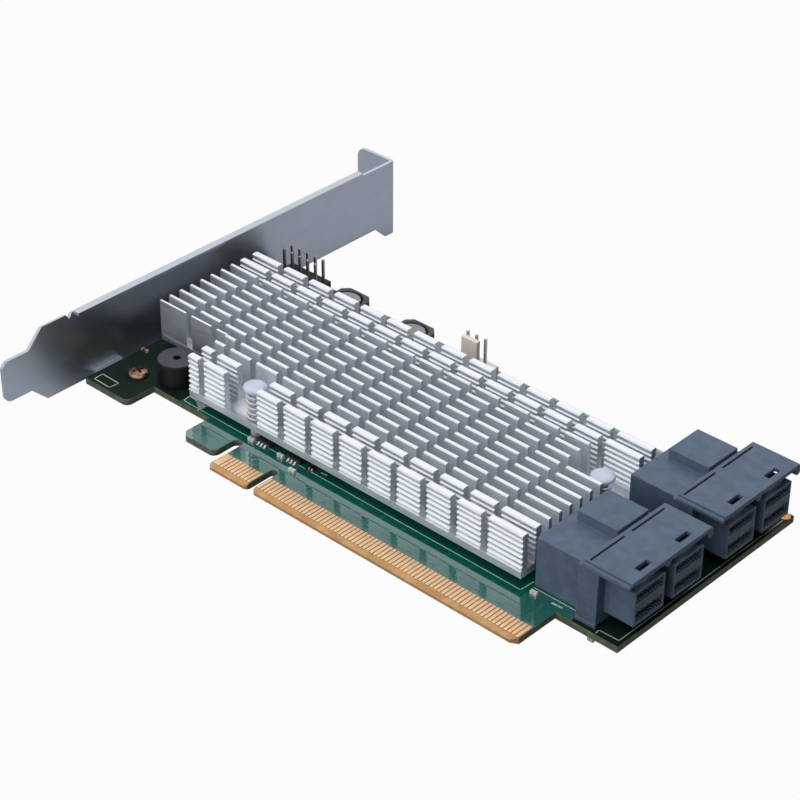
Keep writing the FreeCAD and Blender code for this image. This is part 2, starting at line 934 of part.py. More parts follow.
# Jumper header: base and ten square posts
jumper = new_body("jumper_header_base")
pieces.append(jumper)
jumper_outline = new_sketch(jumper, "jumper_outline", "XY_Plane", "board_face")
rectangle(
    jumper_outline,
    "jumper_x - jumper_half_long",
    "jumper_y - jumper_half_wide",
    "jumper_x + jumper_half_long",
    "jumper_y + jumper_half_wide",
)
jumper_squares(jumper_outline)
pad(jumper, "jumper_block", jumper_outline, "jumper_high")
jumper_posts = new_body("jumper_header_pins")
jumper_posts.AllowCompound = True
pieces.append(jumper_posts)
jumper_post_outline = new_sketch(jumper_posts, "jumper_post_outline", "XY_Plane", "header_pin_low")
jumper_squares(jumper_post_outline)
pad(jumper_posts, "jumper_post_run", jumper_post_outline, "jumper_pin_top - header_pin_low")

# Fan header: base with a friction wall and three square posts
fan = new_body("fan_header_body")
pieces.append(fan)
fan_outline = new_sketch(fan, "fan_outline", "XY_Plane", "board_face")
rectangle(fan_outline, "fan_x - fan_half_long", "fan_front", "fan_x + fan_half_long", "fan_back")
fan_squares(fan_outline)
pad(fan, "fan_block", fan_outline, "fan_base_high")
fan_wall = new_sketch(fan, "fan_wall", "XY_Plane", "board_face")
rectangle(fan_wall, "fan_wall_left", "fan_front", "fan_wall_right", "fan_wall_back")
pad(fan, "fan_wall_plate", fan_wall, "fan_wall_top - board_face")
fan_posts = new_body("fan_header_pins")
fan_posts.AllowCompound = True
pieces.append(fan_posts)
fan_post_outline = new_sketch(fan_posts, "fan_post_outline", "XY_Plane", "header_pin_low")
fan_squares(fan_post_outline)
pad(fan_posts, "fan_post_run", fan_post_outline, "fan_pin_top - header_pin_low")


# Shielded power inductors
def inductor(label, middle):
    body = new_body(label)
    sketch = new_sketch(body, label + "_outline", "XY_Plane", "board_face")
    polygon(sketch, [
        (middle + " - coil_half + coil_cut", "coil_y - coil_half"),
        (middle + " + coil_half - coil_cut", "coil_y - coil_half"),
        (middle + " + coil_half", "coil_y - coil_half + coil_cut"),
        (middle + " + coil_half", "coil_y + coil_half - coil_cut"),
        (middle + " + coil_half - coil_cut", "coil_y + coil_half"),
        (middle + " - coil_half + coil_cut", "coil_y + coil_half"),
        (middle + " - coil_half", "coil_y + coil_half - coil_cut"),
        (middle + " - coil_half", "coil_y - coil_half + coil_cut"),
    ])
    pad(body, label + "_block", sketch, "coil_high")
    pieces.append(body)


inductor("power_inductor_left", "coil_left_x")
inductor("power_inductor_right", "coil_right_x")


# One port pair: shroud with two noses, wafer block behind it and the contact blades in its slots
def port_pair(side, middle):
    def place(offset):
        return "%s + (%s)" % (middle, offset)

    shroud = new_body("port_shroud_" + side)
    pieces.append(shroud)
    wall = new_sketch(shroud, side + "_wall", "XY_Plane", "board_face")
    rectangle(wall, "block_right", place("-shroud_half"), "shroud_right", place("shroud_half"))
    pad(shroud, side + "_wall_block", wall, "shroud_high - board_face")
    foot = new_sketch(shroud, side + "_foot", "XY_Plane", "board_face")
    rectangle(foot, "foot_left", place("-foot_half"), "shroud_right", place("foot_half"))
    pad(shroud, side + "_foot_block", foot, "foot_high - board_face")
    cover = new_sketch(shroud, side + "_cover", "XY_Plane", "shroud_high")
    rectangle(cover, "cover_left", place("-cover_half"), "cover_right", place("cover_half"))
    pad(shroud, side + "_cover_plate", cover, "cover_high - shroud_high")
    rails = new_sketch(shroud, side + "_rails", "XY_Plane", "lip_low")
    rectangle(rails, "cover_left", place("-shroud_half"), "lip_far", place("-cover_half"))
    rectangle(rails, "cover_left", place("cover_half"), "lip_far", place("shroud_half"))
    pad(shroud, side + "_rail_bars", rails, "lip_top - lip_low")
    guides = new_sketch(shroud, side + "_guides", "XY_Plane", "guide_low")
    rectangle(guides, "shroud_right", place("guide_end_near"), "nose_right", place("guide_end_far"))
    pad(shroud, side + "_guide_bar", guides, "shroud_high - guide_low")
    middle_guide = new_sketch(shroud, side + "_middle_guide", "XY_Plane", "guide_mid_low")
    rectangle(middle_guide, "shroud_right", place("guide_mid_near"), "nose_right", place("guide_mid_far"))
    pad(shroud, side + "_middle_guide_bar", middle_guide, "shroud_high - guide_mid_low")
    openings = new_sketch(shroud, side + "_openings", "XY_Plane", "shroud_high")
    rectangle(openings, "slit_left", place("slit_near"), "slit_right", place("slit_mid_near"))
    rectangle(openings, "slit_left", place("slit_mid_far"), "slit_right", place("slit_far"))
    rectangle(openings, "window_left", place("window_near"), "window_right", place("window_mid_near"))
    rectangle(openings, "window_left", place("window_mid_far"), "window_right", place("window_far"))
    pocket(shroud, side + "_opened", openings, "cover_high", backward=True)
    noses = new_sketch(shroud, side + "_noses", "YZ_Plane", "shroud_right")
    rectangle(noses, place("nose_near"), "nose_low", place("nose_mid_near"), "nose_high")
    rectangle(noses, place("nose_mid_far"), "nose_low", place("nose_far"), "nose_high")
    pad(shroud, side + "_nose_blocks", noses, "nose_right - shroud_right")
    slots = new_sketch(shroud, side + "_slots", "YZ_Plane", "nose_right")
    for near, far in (("nose_near", "nose_mid_near"), ("nose_mid_far", "nose_far")):
        for floor, roof in (("slot_low_floor", "slot_low_roof"), ("slot_high_floor", "slot_high_roof")):
            rectangle(
                slots,
                place(near + " + slot_inset"),
                floor,
                place(far + " - slot_inset"),
                roof,
            )
    pocket(shroud, side + "_slotted", slots, "nose_right - slot_back")

    block = new_body("port_wafer_block_" + side)
    pieces.append(block)
    lower = new_sketch(block, side + "_block", "XY_Plane", "board_face")
    rectangle(lower, "block_left", place("-block_half"), "block_right", place("block_half"))
    pad(block, side + "_block_body", lower, "block_high - board_face")
    upper = new_sketch(block, side + "_rise", "XY_Plane", "block_high")
    rectangle(upper, "rise_left", place("rise_low"), "block_right", place("rise_far"))
    pad(block, side + "_rise_body", upper, "rise_high - block_high")

    blades = new_body("port_contacts_" + side)
    blades.AllowCompound = True
    pieces.append(blades)
    ends = new_sketch(blades, side + "_blades", "YZ_Plane", "slot_back")
    for near in ("nose_near", "nose_mid_far"):
        for floor in ("slot_low_floor", "slot_high_floor"):
            rectangle(
                ends,
                place(near + " + blade_inset - blade_wide / 2"),
                floor,
                place(near + " + blade_inset + blade_wide / 2"),
                floor + " + blade_thick",
            )
    first = pad(blades, side + "_first_blades", ends, "blade_end - slot_back")
    row_of(blades, side + "_blade_row", first, "Y_Axis", "blade_pitch", "blade_count")


port_pair("front", "port_front_y")
port_pair("rear", "port_front_y + port_gap")
locks = new_body("port_board_locks")
locks.AllowCompound = True
pieces.append(locks)
lock_outline = new_sketch(locks, "lock_outline", "XY_Plane", "lock_low")
lock_squares(lock_outline)
pad(locks, "lock_pegs", lock_outline, "board_face - lock_low")


# Small components soldered to the component side
def bricks_at(label, spots, long, wide, high):
    members = []
    for index, (across, along) in enumerate(spots, start=1):
        members.append(brick(
            "%s_%d" % (label, index),
            "%g - %s / 2" % (across, long),
            "%g - %s / 2" % (along, wide),
            "board_face",
            long,
            wide,
            high,
        ))
    group(label, members)


bricks_at("ceramic_capacitors", capacitor_spots, "capacitor_long", "capacitor_wide", "capacitor_high")
bricks_at("chip_resistors", resistor_spots, "resistor_long", "resistor_wide", "resistor_high")
bricks_at("status_leds", led_spots, "led_long", "led_wide", "led_high")
bricks_at("regulator_chips", regulator_spots, "regulator_side", "regulator_side", "regulator_high")
bricks_at("flash_memory_chip", [(24.0, 60.0)], "flash_long", "flash_wide", "flash_high")
bricks_at("clock_oscillator", [(34.0, 60.0)], "clock_long", "clock_wide", "clock_high")

# Recompute, check every object and write one file for each piece
doc.recompute()
for item in doc.Objects:
    if "Invalid" in item.State or "Error" in item.State:
        raise ValueError("%s is in state %s" % (item.Label, item.State))
os.makedirs("parts", exist_ok=True)
for piece in pieces:
    if piece.Shape.isNull() or not piece.Shape.isValid():
        raise ValueError("%s has no valid shape" % piece.Label)
    piece.Shape.exportStep("parts/%s.step" % piece.Label)
    print(piece.Label, len(piece.Shape.Solids), round(piece.Shape.Volume, 2))
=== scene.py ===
import bmesh
import bpy
from math import cos, hypot, pi, radians, sin
from mathutils import Matrix, Vector


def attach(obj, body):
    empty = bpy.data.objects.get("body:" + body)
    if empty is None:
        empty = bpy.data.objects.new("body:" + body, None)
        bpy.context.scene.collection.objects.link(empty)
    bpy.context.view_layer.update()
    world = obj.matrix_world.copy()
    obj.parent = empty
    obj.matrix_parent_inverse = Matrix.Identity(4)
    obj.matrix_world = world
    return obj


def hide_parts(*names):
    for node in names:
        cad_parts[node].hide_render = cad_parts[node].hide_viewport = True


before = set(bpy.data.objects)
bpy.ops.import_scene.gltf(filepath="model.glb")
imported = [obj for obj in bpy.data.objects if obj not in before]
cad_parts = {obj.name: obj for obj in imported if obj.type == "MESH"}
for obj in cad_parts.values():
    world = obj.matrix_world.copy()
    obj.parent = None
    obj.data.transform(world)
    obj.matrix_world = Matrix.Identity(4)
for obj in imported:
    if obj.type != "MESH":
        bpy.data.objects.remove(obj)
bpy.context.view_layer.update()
scene = bpy.context.scene
scene.view_settings.view_transform = "Standard"
mm = 0.001
boardTop = 0.785  # mm, component side of the board
pinSpots = {"front": (-13.2, 15.2), "rear": (60.2, 40.1)}  # mm, push pins in the heat sink
buzzerSpot = (-40.95, 17.95)  # mm
facingUp = 0.9  # least upward part of the normal of an upper face
noiseSpan = (0.3, 0.7)  # most values of a noise lie between these
print("frame loaded:", len(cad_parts), "nodes")


def linear(hexText):
    channels = [int(hexText[i:i + 2], 16) / 255 for i in (1, 3, 5)]
    return [c / 12.92 if c <= 0.04045 else ((c + 0.055) / 1.055) ** 2.4 for c in channels] + [1]


def addNode(tree, kind, inputs=None, stops=None, **settings):
    node = tree.nodes.new(kind)
    for key, value in settings.items():
        setattr(node, key, value)
    for index, (place, hexText) in enumerate(stops or []):
        ramp = node.color_ramp.elements
        stop = ramp[index] if index < len(ramp) else ramp.new(place)
        stop.position = place
        stop.color = linear(hexText)
    for key, value in (inputs or {}).items():
        if isinstance(value, bpy.types.NodeSocket):
            tree.links.new(value, node.inputs[key])
        else:
            node.inputs[key].default_value = value
    return node


def output(tree, kind, inputs=None, **settings):
    return addNode(tree, kind, inputs, **settings).outputs[0]


def ranged(tree, value, before, after):
    # maps a value from one span to another
    spans = {"From Min": before[0], "From Max": before[1], "To Min": after[0], "To Max": after[1]}
    return output(tree, "ShaderNodeMapRange", {"Value": value, **spans})


def calculated(tree, operation, *values):
    return output(tree, "ShaderNodeMath", dict(enumerate(values)), operation=operation)


def emptyTree(owner):
    owner.use_nodes = True
    owner.node_tree.nodes.clear()
    return owner.node_tree


# Materials: cloud and grain are noises of (size in mm, detail, roughness); the cloud sets the tone,
# the grain sets the wear and the relief
def newMaterial(
        name, inputs, tones, cloud, grain, bump, bumpMm=0.05, worn=0, stretch=(1, 1, 1), stops=noiseSpan):
    material = bpy.data.materials.new(name)
    tree = emptyTree(material)
    shader = addNode(tree, "ShaderNodeBsdfPrincipled", inputs)
    addNode(tree, "ShaderNodeOutputMaterial", {"Surface": shader.outputs[0]})
    spot = addNode(tree, "ShaderNodeTexCoord").outputs["Object"]
    drawn = output(tree, "ShaderNodeMapping", {"Vector": spot, "Scale": stretch})

    def noise(sizeMm, detail, roughness):
        values = {"Vector": drawn, "Scale": 1 / (sizeMm * mm), "Detail": detail, "Roughness": roughness}
        return addNode(tree, "ShaderNodeTexNoise", values).outputs["Fac"]

    links = {"Base Color": output(tree, "ShaderNodeValToRGB", {"Fac": noise(*cloud)}, stops=zip(stops, tones))}
    height, rough = noise(*grain), inputs["Roughness"]
    links["Normal"] = output(tree, "ShaderNodeBump", {"Height": height, "Strength": bump, "Distance": bumpMm * mm})
    if worn:
        links["Roughness"] = ranged(tree, height, noiseSpan, (rough * (1 - worn), rough * (1 + worn)))
    for socket, value in links.items():
        tree.links.new(value, shader.inputs[socket])
    return material


def makeSolderMask(name, deep, light, gloss):
    # solder mask: deep green film with slow ripples, wet on top
    return newMaterial(name, gloss, (deep, light), (9, 3, 0.5), (2.5, 1, 0.5), 0.05, 0.1, stops=(0.35, 0.7))


def makeMetal(name, light, dark, roughness, grainMm, bump, stretch=(1, 1, 1), metal=1, worn=0.2):
    # metal with a fine grain: the stretch pulls the grain out along X, Y and Z
    inputs, grain = {"Metallic": metal, "Roughness": roughness}, (grainMm, 4, 0.6)
    return newMaterial(name, inputs, (dark, light), grain, grain, bump, worn=worn, stretch=stretch)


def makeMoulded(name, light, dark, roughness, ior, grainMm, bump, extra=None):
    # moulded or fired part: slight cloudiness in the colour and a fine spark-eroded grain
    inputs, cloudMm = {"Roughness": roughness, "IOR": ior, **(extra or {})}, grainMm * 12
    return newMaterial(name, inputs, (dark, light), (cloudMm, 2, 0.5), (grainMm, 3, 0.5), bump, worn=0.15)


# over copper the mirror image is strong and neutral, over bare laminate there is little of it
overCopper = {"Roughness": 0.1, "IOR": 1.7, "Coat Weight": 1, "Coat Roughness": 0.04, "Coat IOR": 1.8}
overLaminate = {"Roughness": 0.35, "IOR": 1.5, "Specular IOR Level": 0.06}
# mask over the copper plane: deep green, wet
solderMask = makeSolderMask("solderMask", "#03554a", "#086356", overCopper)
# the same mask on a trace: a little lighter
maskedCopper = makeSolderMask("maskedCopper", "#0f6a5d", "#167869", overCopper)
# the same mask at both ends, where no copper lies under it: nearly black green
bareMask = makeSolderMask("maskOverLaminate", "#131f18", "#1c2b22", overLaminate)
# hard gold over nickel: pale warm metal, lightly wiped along the contact
goldPlate = makeMetal("hardGold", "#fad8b0", "#edc294", 0.36, 0.4, 0.05, stretch=(1, 0.2, 1))
# nickel-plated sheet steel: cool grey, a soft blurred mirror
nickelSteel = makeMetal(
    "nickelPlatedSteel", "#b6bcc6", "#b0b6c0", 0.32, 1.5, 0.0005, stretch=(1, 0.3, 1), worn=0.03)
# copper-washed steel screw: warm brown-pink, small glints
copperSteel = makeMetal("copperWashedSteel", "#bb9a8a", "#8c6a5a", 0.28, 0.3, 0.05)
# bare extruded aluminium: pale, satin, with draw lines along the fins
bareAluminium = makeMetal(
    "extrudedAluminium", "#e6eaef", "#dadfe5", 0.38, 0.35, 0.04, stretch=(0.06, 1, 1), metal=0.9)
# nickel-plated copper lid: flat grey
lidNickel = makeMetal("lidNickel", "#b9bcc0", "#9da0a6", 0.3, 0.4, 0.04)
# plated spring wire: pale and soft, so that the coils read against the nylon
springWire = makeMetal("springWire", "#eaeae9", "#d8d8d7", 0.4, 0.3, 0.03, stretch=(1, 1, 0.3), metal=0.75)
# matt tin on posts and solder: soft grey-white
tinned = makeMetal("mattTin", "#dcdedd", "#bcbfbf", 0.35, 0.25, 0.06)
# the same tin on the posts by the bracket, darker: painted shade
shadedPostTin = makeMetal("tinInPaintedShade", "#b4aeac", "#969090", 0.34, 0.25, 0.05)
# stamped contact blades: dull grey metal in shade
contactAlloy = makeMetal("contactAlloy", "#8a8d95", "#6b6e76", 0.35, 0.3, 0.04, stretch=(0.2, 1, 1))
# soldered chip ends: white, half matt
solderedEnds = makeMetal("solderedEnds", "#f4f5f2", "#dfe1de", 0.42, 0.2, 0.05, metal=0.4)
# natural nylon: milky, a little lavender, soft light inside
milky = {"Subsurface Weight": 0.6, "Subsurface Radius": (0.003, 0.003, 0.0032), "Subsurface Scale": 1}
paleNylon = makeMoulded("naturalNylon", "#cdd1ec", "#c1c5e0", 0.4, 1.53, 0.25, 0.05, milky)
# glass-filled nylon: slate grey, satin with a fine fibre grain
portPlastic = makeMoulded(
    "glassFilledNylon", "#5c6d83", "#526276", 0.32, 1.5, 0.2, 0.03, {"Specular IOR Level": 0.15})
# black thermoplastic of buzzer and headers: near black, satin
blackPlastic = makeMoulded(
    "blackThermoplastic", "#101114", "#0a0b0d", 0.45, 1.5, 0.2, 0.05, {"Specular IOR Level": 0.3})
# buzzer top: grey-violet, matt, laid on the upward faces of the black can: painted sheen from the light above
buzzerTopSheen = makeMoulded("buzzerTopPaintedSheen", "#383b48", "#30333e", 0.5, 1.5, 0.25, 0.06)
# natural nylon of the fan header: warm grey beige
beigePlastic = makeMoulded("naturalPolyamide", "#f4e9dd", "#e6dacd", 0.42, 1.53, 0.25, 0.06)
# pressed ferrite and iron powder: charcoal, dry
pressedFerrite = makeMoulded("pressedFerrite", "#3b3d42", "#2a2c30", 0.55, 1.6, 0.12, 0.2)
# ground face of the round cores: paler grey, satin
groundFerrite = makeMoulded("groundFerrite", "#8b8c90", "#77787c", 0.4, 1.6, 0.12, 0.08)
# fired ceramic of chip capacitors: tan
firedCeramic = makeMoulded("firedCeramic", "#d8c8b2", "#c2ad92", 0.35, 1.6, 0.1, 0.08)
# brown glass of the part by the front chips: reddish, shiny
brownGlass = makeMoulded("brownGlass", "#7a3a26", "#5c2a1c", 0.25, 1.5, 0.1, 0.03)
# glass over a resistor film: black, shiny
resistorGlass = makeMoulded("resistorGlass", "#1b1b1f", "#121215", 0.2, 1.5, 0.1, 0.03)
# tinted epoxy of the light-emitting diode: red, clear
redEpoxy = makeMoulded("redEpoxy", "#9a2a22", "#7d1e19", 0.25, 1.52, 0.2, 0.03)
# epoxy mould compound of chip packages: charcoal, fine matt
mouldCompound = makeMoulded("epoxyMouldCompound", "#26272b", "#1b1c20", 0.5, 1.55, 0.1, 0.12)
# glass-epoxy of the chip carrier: dull green
carrierLaminate = makeMoulded("carrierLaminate", "#2f5a44", "#244936", 0.35, 1.55, 0.3, 0.04)
# silicone gap pad: grey-blue, matt
siliconePad = makeMoulded("siliconePad", "#8f98a4", "#7c8692", 0.7, 1.45, 0.3, 0.1)
# screen-printed epoxy ink: soft pale green-white, slightly thin
printInk = makeMoulded("legendInk", "#bcd3c7", "#a5c0b2", 0.45, 1.5, 0.3, 0.03)
# routed glass-epoxy edge: olive brown, dull, with the cut glass bundles
routedEdge = makeMoulded("routedGlassEpoxy", "#6e765e", "#4c5440", 0.7, 1.5, 0.15, 0.2)
# bevelled laminate under the contacts: warm tan
bareLaminate = makeMoulded("bareLaminate", "#cf9f68", "#b28450", 0.5, 1.5, 0.2, 0.12)
# laminate between the contacts: the same tan in shade
laminateGap = makeMoulded("laminateBetween", "#9c6c3c", "#845730", 0.5, 1.5, 0.2, 0.08)
# bare plated copper land: dull orange
bareCopper = makeMetal("bareCopper", "#d39b60", "#b07540", 0.35, 0.3, 0.05)
print("materials made:", len(bpy.data.materials))


def pick(values, names):
    return [values[name] for name in names.split()]


# Mesh helpers, sizes in mm
def toMesh(name, shape):
    mesh = bpy.data.meshes.new(name)
    shape.to_mesh(mesh)
    shape.free()
    return mesh


def smoothed(mesh, angle=35):
    mesh.shade_smooth()
    mesh.set_sharp_from_angle(angle=radians(angle))
    return mesh


def addObject(name, mesh):
    piece = bpy.data.objects.new(name, mesh)
    scene.collection.objects.link(piece)
    return piece


def meshObject(name, shape, angle=35):
    bmesh.ops.recalc_face_normals(shape, faces=shape.faces)
    return addObject(name, smoothed(toMesh(name, shape), angle))


def painted(piece, *materials):
    piece.data.materials.clear()
    for material in materials:
        piece.data.materials.append(material)


def settle(piece, nodes=(), material=None):
    if material:
        painted(piece, material)
    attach(piece, "root")
    if nodes:
        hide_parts(*nodes)


def drop(*pieces):
    for piece in pieces:
        bpy.data.objects.remove(piece)


def baked(piece, name, *tools):
    # the evaluated result as a plain mesh in a new object; the maker object and its tools go
    bpy.context.view_layer.update()
    result = bpy.data.meshes.new_from_object(piece.evaluated_get(bpy.context.evaluated_depsgraph_get()))
    result.name = name
    drop(piece, *tools)
    return addObject(name, result)


def placed(axis, level, a, b):
    # a point in metres: its level on the axis and two measures across it, in mm
    return [v * mm for v in {"x": (level, a, b), "y": (a, level, b), "z": (a, b, level)}[axis]]


def rectangle(left, low, right, high):
    return [(left, low), (right, low), (right, high), (left, high)]


def mirrored(right):
    # an outline from its right half
    return right + [(-a, b) for a, b in reversed(right)]


def prism(outline, low, high, axis, shape=None, ease=0):
    # closed prism with its outline across the axis; ease draws the end outlines in a little
    shape = shape or bmesh.new()
    count = len(outline)
    midA, midB = (sum(values) / count for values in zip(*outline))

    def ring(level, inward):
        corners = []
        for a, b in outline:
            share = inward / (hypot(a - midA, b - midB) or 1)
            corners.append(shape.verts.new(placed(axis, level, a - (a - midA) * share, b - (b - midB) * share)))
        return corners

    steps = [(low, ease), (low + ease, 0), (high - ease, 0), (high, ease)] if ease else [(low, 0), (high, 0)]
    rings = [ring(*step) for step in steps]
    for lower, upper in zip(rings, rings[1:]):
        for i in range(count):
            j = (i + 1) % count
            shape.faces.new((lower[i], lower[j], upper[j], upper[i]))
    shape.faces.new(rings[0])
    shape.faces.new(rings[-1])
    return shape


def lathe(profile, centre, sides=48, shape=None, closed=False):
    # profile of (radius, level) turned about Z, from pole to pole or closed on itself
    shape = shape or bmesh.new()
    rings = []
    for radius, level in profile:
        turns = [2 * pi * k / sides for k in range(sides if radius else 1)]
        spots = [(centre[0] + radius * cos(t), centre[1] + radius * sin(t)) for t in turns]
        rings.append([shape.verts.new(placed("z", level, a, b)) for a, b in spots])
    for lower, upper in zip(rings, rings[1:] + rings[:1] if closed else rings[1:]):
        for k in range(sides):
            n = (k + 1) % sides
            corners = (lower[k % len(lower)], lower[n % len(lower)], upper[n % len(upper)], upper[k % len(upper)])
            shape.faces.new(list(dict.fromkeys(corners)))
    return shape


def arc(middle, radius, start, end, steps):
    turns = [radians(start + (end - start) * i / steps) for i in range(steps + 1)]
    return [(middle[0] + radius * cos(t), middle[1] + radius * sin(t)) for t in turns]


def gridPlate(axis, first, second, holes, low, high):
    # plate on break lines across the axis, with the cells inside the holes left out
    shape = bmesh.new()
    corners = {(a, b): shape.verts.new(placed(axis, low, a, b)) for a in first for b in second}
    for left, right in zip(first, first[1:]):
        for lower, upper in zip(second, second[1:]):
            a, b = (left + right) / 2, (lower + upper) / 2
            if not any(h[0] < a < h[1] and h[2] < b < h[3] for h in holes):
                shape.faces.new([corners[spot] for spot in rectangle(left, lower, right, upper)])
    grown = bmesh.ops.extrude_face_region(shape, geom=shape.faces[:], use_keep_orig=True)["geom"]
    lifted = [part for part in grown if isinstance(part, bmesh.types.BMVert)]
    bmesh.ops.translate(shape, verts=lifted, vec=placed(axis, high - low, 0, 0))
    return shape


def easeModifier(piece, width, angle=30, steps=2, miter="MITER_ARC"):
    ease = piece.modifiers.new("ease", "BEVEL")
    ease.width = width * mm
    ease.segments = steps
    ease.limit_method = "ANGLE"
    ease.angle_limit = radians(angle)
    ease.miter_outer = miter


def eased(name, shape, width):
    piece = meshObject(name, shape)
    easeModifier(piece, width)
    return baked(piece, name)


def evenNormals(piece, name, *tools):
    # large faces keep their own direction and the eased corners blend between them
    piece.data.shade_smooth()
    piece.modifiers.new("even", "WEIGHTED_NORMAL").weight = 100
    return baked(piece, name, *tools)


def softEdges(node, width, steps=2):
    # a merged copy of a node with its corners eased, as a plain mesh object
    name = node + "Soft"
    merge = dict(distance=1e-6, flat=radians(0.5))
    shape = bmesh.new()
    shape.from_mesh(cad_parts[node].data)
    bmesh.ops.remove_doubles(shape, verts=shape.verts, dist=merge["distance"])
    bmesh.ops.dissolve_limit(shape, angle_limit=merge["flat"], verts=shape.verts, edges=shape.edges)
    piece = addObject(name, toMesh(name, shape))
    piece.data.materials.clear()
    easeModifier(piece, width, steps=steps)
    return evenNormals(piece, name)


def carve(piece, tool):
    cut = piece.modifiers.new("cut", "BOOLEAN")
    cut.object = tool
    cut.solver = "EXACT"


def joined(name, pieces):
    shape = bmesh.new()
    for piece in pieces:
        mesh = piece.data
        shape.from_mesh(mesh)
        drop(piece)
        bpy.data.meshes.remove(mesh)
    return addObject(name, smoothed(toMesh(name, shape)))


# Geometry Nodes: one tree sets a part out in rows and columns, one sets it on points, one winds a spring
def newTree(name, **sockets):
    tree = bpy.data.node_groups.new(name, "GeometryNodeTree")
    for label, kind in {"Geometry": "Geometry", **sockets}.items():
        tree.interface.new_socket(label, in_out="INPUT", socket_type="NodeSocket" + kind)
    tree.interface.new_socket("Geometry", in_out="OUTPUT", socket_type="NodeSocketGeometry")
    return tree, addNode(tree, "NodeGroupInput").outputs


def closeTree(tree, geometry, finish):
    plain = output(tree, "GeometryNodeRealizeInstances", {"Geometry": geometry})
    coloured = output(tree, "GeometryNodeSetMaterial", {"Geometry": plain, "Material": finish})
    addNode(tree, "NodeGroupOutput", {"Geometry": coloured})
    return tree


def makeRowsTree():
    tree, given = newTree(
        "rowsAndColumns", part="Object", first="Vector", columns="Int", columnPitch="Float", rows="Int",
        rowPitch="Float", finish="Material")
    along = output(tree, "ShaderNodeCombineXYZ", {"X": given["columnPitch"]})
    across = output(tree, "ShaderNodeCombineXYZ", {"Y": given["rowPitch"]})
    line = {"Count": given["columns"], "Start Location": given["first"], "Offset": along}
    columns = output(tree, "GeometryNodeMeshLine", line)
    rows = output(tree, "GeometryNodeMeshLine", {"Count": given["rows"], "Offset": across})
    lines = output(tree, "GeometryNodeInstanceOnPoints", {"Points": rows, "Instance": columns})
    spots = output(tree, "GeometryNodeRealizeInstances", {"Geometry": lines})
    part = addNode(tree, "GeometryNodeObjectInfo", {"Object": given["part"]}).outputs["Geometry"]
    copies = output(tree, "GeometryNodeInstanceOnPoints", {"Points": spots, "Instance": part})
    return closeTree(tree, copies, given["finish"])


def makePointsTree():
    tree, given = newTree("partOnPoints", part="Object", turn="Float", finish="Material")
    part = addNode(tree, "GeometryNodeObjectInfo", {"Object": given["part"]}).outputs["Geometry"]
    turn = output(tree, "ShaderNodeCombineXYZ", {"Z": given["turn"]})
    inputs = {"Points": given["Geometry"], "Instance": part, "Rotation": turn}
    copies = output(tree, "GeometryNodeInstanceOnPoints", inputs)
    return closeTree(tree, copies, given["finish"])


def makeSpringTree():
    tree, given = newTree(
        "springWinding", turns="Float", radius="Float", height="Float", wire="Float", foot="Vector", finish="Material")
    winding = {"Resolution": 30, "Rotations": given["turns"], "Height": given["height"]}
    winding.update({"Start Radius": given["radius"], "End Radius": given["radius"]})
    helix = output(tree, "GeometryNodeCurveSpiral", winding)
    section = output(tree, "GeometryNodeCurvePrimitiveCircle", {"Resolution": 12, "Radius": given["wire"]})
    swept = {"Curve": helix, "Profile Curve": section, "Fill Caps": True}
    wire = output(tree, "GeometryNodeCurveToMesh", swept)
    stood = output(tree, "GeometryNodeTransform", {"Geometry": wire, "Translation": given["foot"]})
    smooth = output(tree, "GeometryNodeSetShadeSmooth", {"Geometry": stood})
    return closeTree(tree, smooth, given["finish"])


rowsTree = makeRowsTree()
pointsTree = makePointsTree()
springTree = makeSpringTree()


def metres(values):
    return [v * mm for v in values]


def runTree(name, tree, spots=((0, 0, 0),), **values):
    # runs a tree once and gives back a plain mesh object
    mesh = bpy.data.meshes.new(name)
    mesh.from_pydata([metres(spot) for spot in spots], [], [])
    maker = addObject(name + "Maker", mesh)
    modifier = maker.modifiers.new("layout", "NODES")
    modifier.node_group = tree
    sockets = {s.name: s.identifier for s in tree.interface.items_tree if s.in_out == "INPUT"}
    for label, value in values.items():
        modifier[sockets[label]] = value
    return baked(maker, name)


def inRows(name, part, first, columns, rows, finish):
    # columns along X and rows along Y, each as a count and a pitch
    return runTree(
        name, rowsTree, part=part, first=metres(first), columns=columns[0], columnPitch=columns[1] * mm, rows=rows[0],
        rowPitch=rows[1] * mm, finish=finish)


def onPoints(name, part, spots, finish, turn=0.0):
    # spots are (x, y) on the board
    return runTree(name, pointsTree, [(x, y, 0) for x, y in spots], part=part, turn=turn, finish=finish)


